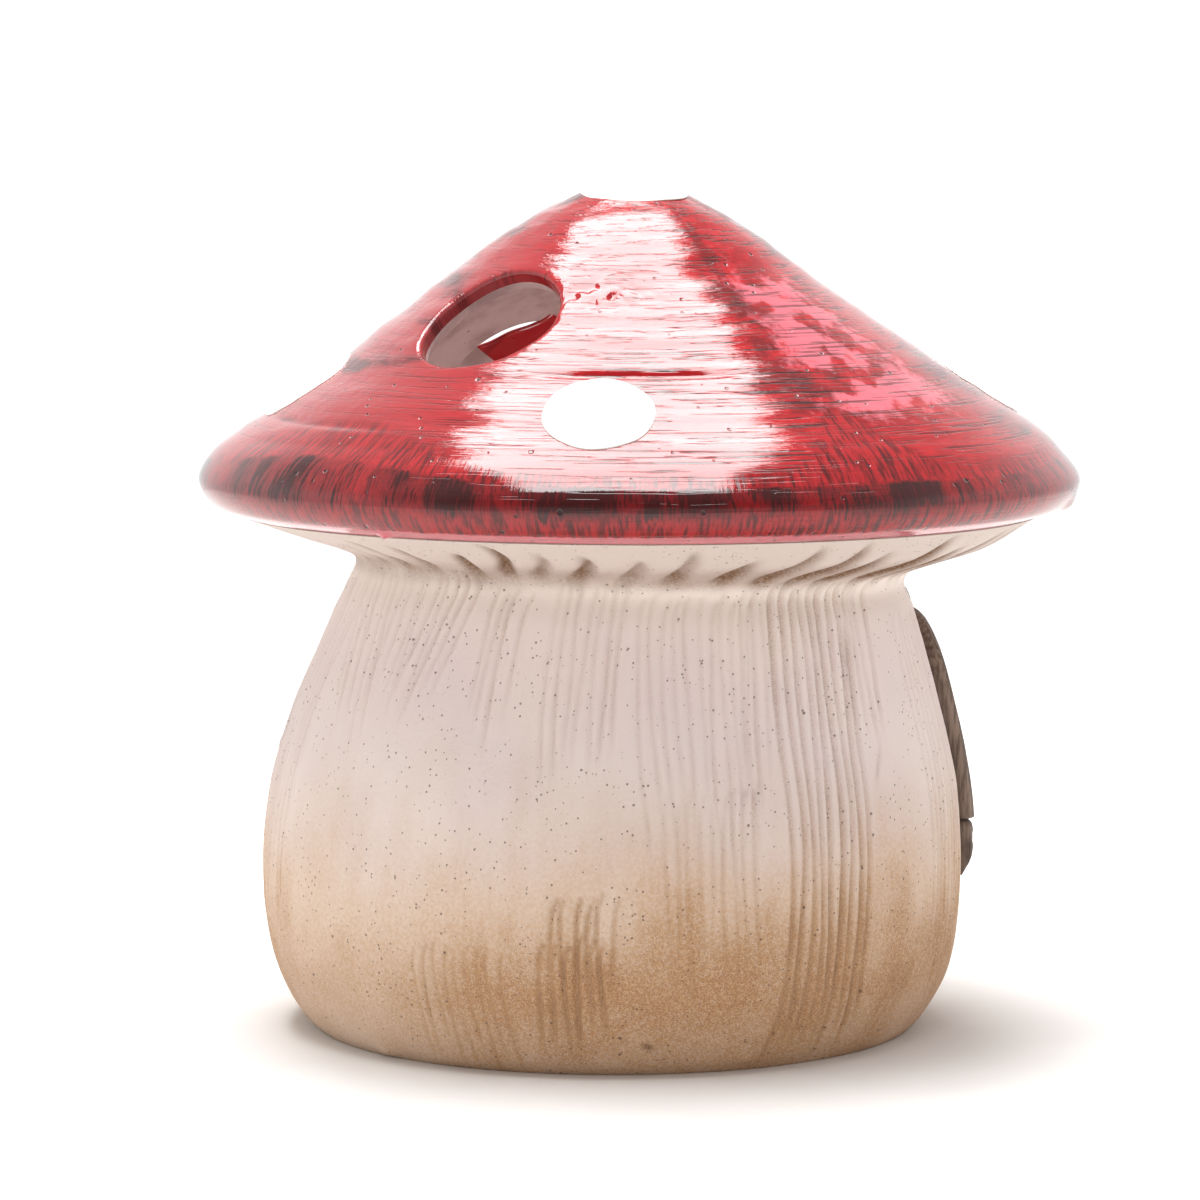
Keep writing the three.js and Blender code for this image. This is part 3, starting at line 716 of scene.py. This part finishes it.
def discPiece(name, node, loops, material=whiteGlaze):
    # a closed disc from loops that run from the middle of its underside to the middle of its top
    bm = bmesh.new()
    loop = addVerts(bm, loops[0])
    bm.faces.new(loop[::-1])
    for points in loops[1:]:
        loop = addRing(bm, loop, points, 0, False)
    bm.faces.new(loop)
    finishPiece(bm, name, [material], node)


def makeSpot(name, radius, azDegrees, seed):
    angle = fullTurn(spotLook["sides"])
    draw = np.random.RandomState(seed)
    wobble = spotLook["wobble"]
    outline = 1 + sum(draw.uniform(-wobble, wobble) * np.cos(k * angle + draw.uniform(0, 6.3)) for k in range(2, 7))
    loops = []
    for share, rise in spotLook["profile"]:
        reach = spotLook["radius"] * share * outline
        at = capAt(radius) - reach * np.sin(angle)
        az = math.radians(azDegrees) + reach * np.cos(angle) / readLine(capLine, at, "r")
        loops.append(surfacePoint(capLine, at, az, rise + capRise(at, az)))
    discPiece(name + "_glazed", name, loops)


def makeApexSpot():
    # the glaze runs over the edge of the tip, lowest at the front
    az = fullTurn(apexLook["sides"])
    edge = 0.7 + 0.35 * np.sin(az) + 2.5 * np.clip(np.cos(az), 0, None) ** 1.3 + 0.12 * np.sin(7 * az + 1)
    lean = apexLook["lean"]
    loops = [levelRing(radius, apexLook["underHeight"], lean, az) for radius in apexLook["underRadii"]]
    loops += [surfacePoint(capLine, edge * share, az, rise) for share, rise in apexLook["skirt"]]
    for t in np.linspace(math.pi / 2, 0.08, apexLook["rings"]):
        height = apexLook["domeBase"] + apexLook["domeHeight"] * math.cos(t)
        loops.append(levelRing(apexLook["domeRadius"] * math.sin(t), height, lean, az))
    discPiece("apex_spot_glazed", "apex_spot", loops)


for seed, (name, radius, azDegrees) in enumerate(spotLook["spots"]):
    makeSpot(name, radius, azDegrees, spotLook["firstSeed"] + seed)
makeApexSpot()


# stem

stemLook = {
    "stations": [(72.7, 93.5, 0, 0), (62.8, 89.3, 0.9, -1), (51.5, 85.2, -2, -2), (49.8, 83, -1.7, -2),
                 (52, 77, -2.35, -0.5), (58.3, 60, -4, 0), (62.4, 45, -4.6, 0), (63.75, 32, -4.85, 0),
                 (63.3, 20, -4.8, 0), (61, 10, -4.5, 0), (56.5, 2, -4.6, 0), (54.5, 0, -4.6, 0)],
    "rowSteps": (0.6, 1.0, 0.6), "footZone": 12.0, "cols": 900, "innerCols": 160, "wall": 5.0, "footWidth": 6.0,
    "gills": 44, "gillDepth": 1.25, "gillTone": 1.3, "combSeed": 7, "combWidth": 0.44, "combRelief": 1.7,
    "washHeights": (60, 13), "bumps": 0.5, "fineBumps": 0.16, "noiseRadius": 60,
    # azimuth and half angle of tones that differ round the stem
    "paleGills": (2, 14), "brownGills": (60, 18), "thinWash": (-52, 24),
    # strokes of the comb: azimuth at top and bottom, top and bottom height, tines, spacing, depth
    "strokes": [(-62, -55, 86, 60, 5, 2.6, 0.22), (-49, -48, 86, 66, 4, 2.2, 0.2), (-37, -40, 87, 64, 5, 2.1, 0.3),
                (-25, -24, 83, 62, 4, 2.1, 0.24), (-8, -7, 85, 56, 7, 2.0, 0.26), (12, 14, 83, 44, 10, 2.1, 0.2),
                (25, 25, 84, 50, 4, 2.1, 0.2), (38, 36, 85.5, 6, 9, 2.15, 0.4), (50, 49, 85, 58, 4, 2.2, 0.26),
                (15, 16, 50, 18, 9, 2.0, 0.18), (-5, -5, 33, 19, 6, 2.15, 0.34), (-7, -6.5, 25, 6, 6, 2.15, 0.36),
                (-26, -25, 23, 3, 9, 2.1, 0.2), (55, 51, 17, 6, 5, 1.7, 0.24)],
    # knocks in the clay: azimuth, height, half width, half height, rise, slant
    "knocks": [(5.6, 5.3, 0.8, 0.7, -0.9, -0.7), (-3.8, 6.7, 3.6, 0.35, 0.35, 0), (23.5, 2.2, 1.6, 0.8, 0.5, 0),
               (-46, 1.2, 2.2, 1.2, 0.6, 0), (-83.6, 52.1, 1.4, 1.6, 0.5, 0), (49.0, 51.9, 0.4, 2.6, -0.3, 0.5),
               (21.0, 50.0, 2.2, 0.35, -0.25, 0)],
    "hollowHeights": (1.5, 5, 10, 18, 26, 34, 42, 50, 58, 66, 74, 80),
    # radius, height and lean of the rings from the neck to the seat of the cap
    "collar": [(44.8, 86.5, -1.7), (61.6, 93.6, 0), (61.6, 96.4, 0), (62.2, 96.6, 0), (65.0, 96.6, 0),
               (65.6, 96.2, 0), (65.6, 93.8, 0), (71.8, 93.8, 0)],
}
stemLine = makeLine(stemLook["stations"])
stemEnd = float(stemLine["at"][-1])
neckAt = float(stemLine["at"][np.argmin(np.where(stemLine["z"] > 60, stemLine["r"], 99))])


def stemAt(height):
    below = stemLine["at"] >= neckAt
    return np.interp(-np.asarray(height, float), -stemLine["z"][below], stemLine["at"][below])


def combStrokes():
    # the strokes that show in front, and more of the same all round
    draw = np.random.RandomState(stemLook["combSeed"])
    strokes = list(stemLook["strokes"])
    for az in np.arange(70, 292, 13.0):
        top = draw.uniform(76, 86)
        strokes.append((az + draw.uniform(-4, 4), az + draw.uniform(-6, 6), top, top - draw.uniform(25, 78),
                        draw.randint(4, 9), draw.uniform(2.0, 2.4), draw.uniform(0.1, 0.3)))
    return strokes


def stemRelief(at, az):
    # rise of the surface, and how deep each point lies in a comb line and in a gill
    r, z = readLine(stemLine, at, "r", "z")
    below = at > neckAt - 3
    rise, comb, gill = np.zeros(len(at)), np.zeros(len(at)), np.zeros(len(at))
    draw = np.random.RandomState(stemLook["combSeed"] + 1)
    p = ringSpace(az, stemLook["noiseRadius"], z)
    ragged = cloud(p, 6.0, 31, 2)
    for azTop, azBottom, top, bottom, tines, pitch, depth in combStrokes():
        lean = math.radians(azBottom) + math.radians(azTop - azBottom) * (z - bottom) / (top - bottom)
        arc = wrapped(az - lean) * r
        near = below & (np.abs(arc) < tines * pitch) & (z < top + 3) & (z > bottom - 12)
        arc, level = arc[near], z[near]
        for tine in range(tines):
            offset = (tine - (tines - 1) / 2) * pitch + draw.uniform(-0.25, 0.25)
            start, end = top + draw.uniform(-1.2, 0.8), bottom + draw.uniform(-4, 4)
            hook = 1.3 * np.exp(-(start - level).clip(0) / 1.6)
            sway = 0.35 * np.sin(level / draw.uniform(6, 11) + draw.uniform(0, 6.3))
            d = arc - offset - hook - sway
            fade = softStep(start + 0.6, start - 0.6, level) * softStep(end - 5, end + 6, level)
            fade = fade * draw.uniform(0.65, 1.0) * (0.45 + 0.9 * ragged[near])
            groove, ridge = hump(d, stemLook["combWidth"]), 0.5 * hump(d - 0.85, 0.5)
            rise[near] += stemLook["combRelief"] * depth * fade * (ridge - groove)
            comb[near] += groove * fade * depth / 0.3
    # gills: grooves that run out from the neck towards the rim
    out = np.clip((neckAt - at) / neckAt, 0, 1)
    for k in range(stemLook["gills"]):
        centre = (k + draw.uniform(-0.22, 0.22)) * 2 * np.pi / stemLook["gills"]
        reach, strength = draw.uniform(0.7, 1.1), draw.uniform(0.5, 1.0)
        arc = wrapped(az - centre - 0.008 * np.sin(6 * out + k)) * r
        width = 0.75 + 0.6 * (1 - out)
        shape = softStep(0.0, 0.25, out) * softStep(reach, reach * 0.55, out) * strength
        groove, crest = hump(arc, width) * shape, hump(arc - 2.8, 1.7) * shape
        rise += stemLook["gillDepth"] * (0.45 * crest - groove)
        # brown in the gill grooves: wash lying in them, and painted shade
        gill += stemLook["gillTone"] * hump(arc, 1.35 * width) * shape
    gill *= 1 - 0.5 * about(az, *stemLook["paleGills"]) + 0.5 * about(az, *stemLook["brownGills"])
    # hand-made unevenness, and the knocks
    bumps = stemLook["bumps"] * (cloud(p, 26.0, 32, 2) - 0.5) * (at > 4)
    rise += bumps + stemLook["fineBumps"] * (cloud(p, 5.0, 33, 3) - 0.5) * (at > 2)
    for azDegrees, height, wide, tall, lift, slant in stemLook["knocks"]:
        x, y = wrapped(az - math.radians(azDegrees)) * r, z - height
        mark = np.exp(-((x - slant * y) / wide) ** 2 - (y / tall) ** 2) * below
        rise += lift * mark
        # dents take the brown tone too: painted shade in them
        gill += np.clip(-lift, 0, 1) * mark
    return rise, np.clip(comb, 0, 1.2), np.clip(gill, 0, 1)


def makeStem():
    bm = bmesh.new()
    cols, innerCols = stemLook["cols"], stemLook["innerCols"]
    marks = (0, neckAt + 5, stemEnd - stemLook["footZone"], stemEnd)
    ats = np.unique(np.concatenate([np.linspace(a, b, int((b - a) / step) + 1)
                                    for a, b, step in zip(marks, marks[1:], stemLook["rowSteps"])]))
    at, az = ringGrid(ats, cols)
    az = az - 0.3 * np.sin(az)    # columns stand closer together in front
    rise, comb, gill = stemRelief(at, az)
    rise *= softStep(0, 0.8, at) * softStep(stemEnd, stemEnd - 1.5, at)
    points = surfacePoint(stemLine, at, az, rise)
    verts = addVerts(bm, points)
    addFaces(bm, verts, gridQuads(len(ats), cols))

    # hollow inside, from the foot up to the lip that centres the cap
    ringAz, outerAz = fullTurn(innerCols), az[:cols]
    loop = addVerts(bm, levelRing(stemLine["r"][-1] - stemLook["footWidth"], 0.0, stemLine["lean"][-1], ringAz))
    stitch(bm, verts[-cols:], outerAz, loop, ringAz)
    for height in stemLook["hollowHeights"]:
        wallPoints = surfacePoint(stemLine, stemAt(height) + 0 * ringAz, ringAz, -stemLook["wall"])
        loop = addRing(bm, loop, wallPoints, 1)
    for radius, height, lean in stemLook["collar"]:
        loop = addRing(bm, loop, levelRing(radius, height, lean, ringAz), 1)
    stitch(bm, loop, ringAz, verts[:cols], outerAz)

    z = points[:, 2]
    streaks = cloud(ringSpace(az, stemLook["noiseRadius"], z * 0.22), 3.2, 36, 3)
    uneven = 20 * (cloud(points, 20.0, 34, 3) - 0.5) + 10 * (streaks - 0.5)
    wash = softStep(*stemLook["washHeights"], z + uneven)
    # the wash is thinned at the very foot, painted light against the shade there, and thins out on the left; a
    # brown band in the neck under the cap is painted shade
    foot, thin = 0.88 + 0.12 * softStep(2, 14, z), 1 - 0.25 * about(az, *stemLook["thinWash"])
    neckShade = 0.5 * softStep(82.5, 85, z) * softStep(89, 86, z) * (0.4 + cloud(points, 7.0, 37, 2))
    tones = {
        "wash": wash * (0.8 + 0.35 * cloud(points, 9.0, 35, 3)) * foot * thin,
        "gill": np.clip(gill + neckShade, 0, 1), "comb": comb,
        # skirt: the underside under the cap, darkened as painted shade
        "mauve": softStep(88, 74, z) * softStep(24, 44, z), "skirt": softStep(82.5, 87, z),
    }
    rest = np.zeros(len(bm.verts) - len(at))
    tones = {key: np.append(values, rest) for key, values in tones.items()}
    finishPiece(bm, "stem_combed", [creamSlip, bareClay], "stem", tones)


makeStem()


# door

doorLook = {
    "az": 107.0, "width": 32.0, "top": 74.4, "frameWidth": 5.5, "frameProud": 3.2, "panelProud": 1.5, "planks": 4,
    "stepBottom": 26.0, "stepHeight": 10.0, "stepProud": 3.0, "stepOver": 0.6,
    "gap": 0.15, "edgeProud": 0.3, "sink": -0.25, "seamDepth": 0.8, "seamHalf": 0.42,
    "frameGrid": (150, 17), "panelGrid": (97, 90), "stepGrid": (70, 30),
}
springHeight = doorLook["top"] - doorLook["width"] / 2
frameBottom = doorLook["stepBottom"] + doorLook["stepHeight"] + doorLook["gap"]
panelHalf = doorLook["width"] / 2 - doorLook["frameWidth"] - doorLook["gap"]


def doorPoint(across, height, proud):
    at = stemAt(height)
    az = math.radians(doorLook["az"]) + across / readLine(stemLine, at, "r")
    return surfacePoint(stemLine, at, az, proud)


def slabPiece(name, across, height, proud, edge=0, back=doorLook["sink"],
              material=woodStain):
    # a closed plate whose front and back follow the stem; edge says where its stain is worn
    cols, rows = across.shape
    bm = bmesh.new()
    front = addVerts(bm, doorPoint(across, height, proud).reshape(-1, 3))
    rear = addVerts(bm, doorPoint(across, height, back + 0 * proud).reshape(-1, 3))
    quads = gridQuads(cols, rows, False)
    addFaces(bm, front, quads)
    addFaces(bm, rear, quads[:, ::-1])
    grid = np.arange(cols * rows).reshape(cols, rows)
    rim = np.concatenate([grid[:, 0], grid[-1, 1:], grid[-2::-1, -1], grid[0, -2:0:-1]])
    for a, b in zip(rim, np.roll(rim, -1)):
        bm.faces.new((front[a], rear[a], rear[b], front[b]))
    worn = np.broadcast_to(edge, across.shape).ravel()
    node = name.rsplit("_", 1)[0]
    finishPiece(bm, name, [material], node, {"edge": np.append(worn, worn)}, True)


def rounded(share, power=5):
    # full in the middle, falling away at both edges
    return np.sqrt(np.clip(1 - np.abs(share) ** power, 0, 1))


def woodRelief(along, across, seed):
    # carved grain, long one way and narrow the other
    return cloud(np.stack([across, along * 0.09, 0 * across], -1), 1.1, seed, 3) - 0.5


def makeFrame():
    # up one jamb, over the arch and down the other
    middle = (doorLook["width"] - doorLook["frameWidth"]) / 2
    jamb = springHeight - frameBottom
    total = 2 * jamb + math.pi * middle
    rows, cols = doorLook["frameGrid"]
    run = np.linspace(0, total, rows)
    angle = np.clip((run - jamb) / middle, 0, math.pi)
    side, up = -np.cos(angle), np.sin(angle)
    lineHeight = springHeight + middle * up - np.clip(jamb - run, 0, None) - np.clip(run - total + jamb, 0, None)
    share = np.linspace(-1, 1, cols)
    out = share * doorLook["frameWidth"] / 2
    across, height = middle * side[:, None] + side[:, None] * out, lineHeight[:, None] + up[:, None] * out
    grain = woodRelief(run[:, None] + 0 * out, 1.4 * out + 0 * across, 51)
    low = doorLook["edgeProud"]
    profile = low + (doorLook["frameProud"] - low) * rounded(share, 2.6)
    proud = profile + 0.5 * grain * rounded(share, 8)
    edge = softStep(0.25, 0.8, np.abs(share)) * softStep(1.0, 0.85, np.abs(share))
    slabPiece("door_frame_carved", across, height, proud, edge)


def makePanel():
    # planks with grooves between them
    cols, rows = doorLook["panelGrid"]
    lineAcross = np.linspace(-panelHalf, panelHalf, cols)
    plank = 2 * panelHalf / doorLook["planks"]
    toSeam = np.abs((lineAcross + panelHalf + plank / 2) % plank - plank / 2)
    toSeam = np.where(np.abs(lineAcross) > panelHalf - plank / 2, 9.0, toSeam)[:, None]
    lineTop = springHeight + np.sqrt(np.clip(panelHalf ** 2 - lineAcross ** 2, 0, None))
    height = frameBottom + (lineTop[:, None] - frameBottom) * np.linspace(0, 1, rows)
    across = lineAcross[:, None] + 0 * height
    seam = doorLook["seamDepth"] * hump(toSeam, doorLook["seamHalf"])
    proud = doorLook["panelProud"] - seam + 0.35 * woodRelief(height, across, 52)
    edge = hump(toSeam - 0.8, 0.35)
    slabPiece("door_panel_planked", across, height, proud, edge)


def makeStep():
    # a half-round block
    cols, rows = doorLook["stepGrid"]
    half = doorLook["width"] / 2 + doorLook["stepOver"]
    u, v = np.linspace(-1, 1, cols), np.linspace(0, 1, rows)
    across, height = np.meshgrid(half * u, doorLook["stepBottom"] + doorLook["stepHeight"] * v, indexing="ij")
    bulge = np.sin(math.pi / 2 * np.clip(v / 0.45, 0, 1)) * rounded(np.clip((v - 0.8) / 0.2, 0, 1), 4)
    ends = rounded(u, 14)[:, None]
    low = doorLook["edgeProud"]
    proud = low + (doorLook["stepProud"] - low) * (0.22 + 0.78 * bulge) * ends
    proud = proud + 0.4 * woodRelief(1.6 * across, 1.1 * height, 53) * ends
    edge = softStep(0.5, 0.75, v) * softStep(1.0, 0.85, v)
    slabPiece("doorstep_carved", across, height, proud, edge)


keystoneLook = {"half": 2.5, "flare": 1.0, "above": 0.2, "height": 4.0, "proud": 2.3, "fall": 0.7, "grid": (24, 18)}


def makeKeystone():
    cols, rows = keystoneLook["grid"]
    u, v = np.linspace(-1, 1, cols), np.linspace(0, 1, rows)
    across = u[:, None] * (keystoneLook["half"] + keystoneLook["flare"] * v)
    height = doorLook["top"] + keystoneLook["above"] + keystoneLook["height"] * v + 0 * across
    body = (keystoneLook["proud"] - keystoneLook["fall"] * v) * rounded(u, 6)[:, None] * rounded(2 * v - 1, 8)
    proud = doorLook["edgeProud"] + body + 0.3 * woodRelief(height, across, 54)
    slabPiece("keystone_carved", across, height, proud)


strapLook = {
    "fromEdge": 3.4, "half": 1.6, "pointLength": 7.0, "pointFall": 1.2,
    "swell": 0.35, "swellBack": 6.5, "swellHalf": 1.2, "proud": 0.9, "lift": 0.15, "sink": 0.35,
    "nails": (-8.4, -3.0, 1.6), "nailRadius": 0.55, "nailRise": 0.45,
    "belowSpring": 4.5, "aboveFoot": 4.35, "grid": (60, 15),
}


def makeStrap(name, middleHeight):
    # a strap hinge with three nails, pointed at the far end
    cols, rows = strapLook["grid"]
    u, v = np.linspace(0, 1, cols), np.linspace(-1, 1, rows)
    end = panelHalf - strapLook["fromEdge"]
    lineAcross = -panelHalf + (end + panelHalf) * u
    tall = strapLook["half"] - strapLook["pointFall"] * softStep(end - strapLook["pointLength"], end, lineAcross)
    tall = tall + strapLook["swell"] * hump(lineAcross - end + strapLook["swellBack"], strapLook["swellHalf"])
    height = middleHeight + tall[:, None] * v
    across = lineAcross[:, None] + 0 * height
    nails = sum(np.exp(-((across - spot) ** 2 + (height - middleHeight) ** 2) / strapLook["nailRadius"] ** 2)
                for spot in strapLook["nails"])
    plate = strapLook["proud"] * rounded(v, 5) * rounded(2 * u - 1, 24)[:, None]
    proud = doorLook["panelProud"] + strapLook["lift"] + plate + strapLook["nailRise"] * nails
    back = doorLook["panelProud"] - strapLook["sink"]
    slabPiece(name + "_forged", across, height, proud, 0, back, ironStain)


knobLook = {
    "sides": 40, "fromEdge": 4.0,
    # radius and height: a round plate, a short neck and a ball
    "profile": [(2.0, -0.3), (2.0, 0.15), (1.75, 0.3), (1.3, 0.38), (1.2, 0.8), (1.35, 1.05), (1.95, 1.25),
                (2.35, 1.65), (2.45, 2.05), (2.3, 2.5), (1.85, 2.85), (1.2, 3.08), (0.5, 3.17)],
}


def makeKnob():
    across, height = np.array(panelHalf - knobLook["fromEdge"]), np.array((springHeight + frameBottom) / 2)
    foot = doorPoint(across, height, np.array(doorLook["panelProud"]))
    axis = doorPoint(across, height, np.array(doorLook["panelProud"] + 1)) - foot
    axis /= np.linalg.norm(axis)
    sideways = np.cross((0, 0, 1.0), axis)
    sideways /= np.linalg.norm(sideways)
    up = np.cross(axis, sideways)
    angle = fullTurn(knobLook["sides"])[:, None]
    loops = [foot + axis * rise + radius * (np.cos(angle) * sideways + np.sin(angle) * up)
             for radius, rise in knobLook["profile"]]
    discPiece("door_knob_turned", "door_knob", loops, ironStain)


makeFrame()
makePanel()
makeStep()
makeKeystone()
makeStrap("hinge_strap_upper", springHeight - strapLook["belowSpring"])
makeStrap("hinge_strap_lower", frameBottom + strapLook["aboveFoot"])
makeKnob()


# studio

studioLook = {
    "boxSize": (0.68, 1.1), "boxPlace": (-0.05, 0.15, 1.12), "boxPower": 24.5,
    "fillSize": 1.0, "fillPlace": (-0.15, -1.4, 0.55), "fillPower": 3.1,
    "insideSize": 0.02, "insidePlace": (-0.003, 0.0, 0.055), "insidePower": 0.08,
    # strength of the surroundings: above the camera, at its horizon, all round; share left overhead; backdrop
    "front": 0.3, "horizon": 0.7, "around": 1.1, "overhead": 0.5, "backdrop": 1.1,
    "sensor": 36.0, "lens": 148.94, "cameraPlace": (-0.0071, -0.9, 0.1677), "cameraAim": (-0.0071, 0, 0.077),
}


floorLook = {
    "radius": 0.62, "drop": 0.00003, "sides": 128, "roughness": 0.8,
    # pale to look at, but it throws less light up under the rim
    "pale": tint(240, 239, 237), "shade": tint(234, 233, 231), "bounce": tint(222, 220, 217),
}


def paintFloor(inMm):
    pale = layered(floorLook["pale"], (inMm.noise(0.02, 2.0).spread(0.3, 0.7), floorLook["shade"]))
    seen = inMm.node("LightPath", {}, "Is Camera Ray")
    return [layered(floorLook["bounce"], (seen, pale))]


def makeFloor():
    bm = bmesh.new()
    bmesh.ops.create_circle(bm, cap_ends=True, segments=floorLook["sides"], radius=floorLook["radius"])
    mesh = bpy.data.meshes.new("floor")
    bm.to_mesh(mesh)
    bm.free()
    floor = bpy.data.objects.new("floor", mesh)
    floor.location.z = -floorLook["drop"]
    scene.collection.objects.link(floor)
    mesh.materials.append(makeFinish("pale floor", floorLook, paintFloor))


def aimed(thing):
    # turned towards the point that the camera looks at
    return (Vector(studioLook["cameraAim"]) - thing.location).to_track_quat("-Z", "Y").to_euler()


def addLamp(name, kind, where, power):
    lamp = bpy.data.objects.new(name, bpy.data.lights.new(name, kind))
    lamp.data.energy = power
    lamp.location = where
    lamp.visible_camera = False
    scene.collection.objects.link(lamp)
    return lamp


def makeLights():
    box = addLamp("overhead softbox", "AREA", studioLook["boxPlace"], studioLook["boxPower"])
    box.data.shape = "RECTANGLE"
    box.data.size, box.data.size_y = studioLook["boxSize"]
    # a soft fill from the camera's side, which does not show in the glaze
    fill = addLamp("front fill", "AREA", studioLook["fillPlace"], studioLook["fillPower"])
    fill.data.size = studioLook["fillSize"]
    fill.rotation_euler = aimed(fill)
    fill.visible_glossy = False
    inside = addLamp("light in the hollow", "POINT", studioLook["insidePlace"], studioLook["insidePower"])
    inside.data.shadow_soft_size = studioLook["insideSize"]
    # white surroundings, dimmer overhead and above the camera; the backdrop itself is plain white
    world = bpy.data.worlds.new("studio")
    scene.world = world
    world.use_nodes = True
    tree = world.node_tree
    coords = Field(tree, tree.nodes.new("ShaderNodeTexCoord").outputs["Generated"])
    side = coords.node("SeparateXYZ", {0: coords}, 1)
    up = side.output(2)
    front = up.spread(-0.05, 0.45, studioLook["horizon"], studioLook["front"])
    strength = side.spread(-0.75, 0.1, front, studioLook["around"])
    strength = strength * up.spread(0.3, 0.7, 1.0, studioLook["overhead"])
    seen = up.node("LightPath", {}, "Is Camera Ray")
    back = tree.nodes["Background"]
    tree.links.new(strength.calc("MAXIMUM", seen * studioLook["backdrop"]).socket, back.inputs["Strength"])
    back.inputs["Color"].default_value = (1, 1, 1, 1)


def makeCamera():
    data = bpy.data.cameras.new("camera")
    data.sensor_width = studioLook["sensor"]
    data.lens = studioLook["lens"]
    camera = bpy.data.objects.new("camera", data)
    camera.location = studioLook["cameraPlace"]
    camera.rotation_euler = aimed(camera)
    scene.collection.objects.link(camera)
    scene.camera = camera


makeFloor()
makeLights()
makeCamera()
scene.view_settings.view_transform = "Standard"
print("studio ready")
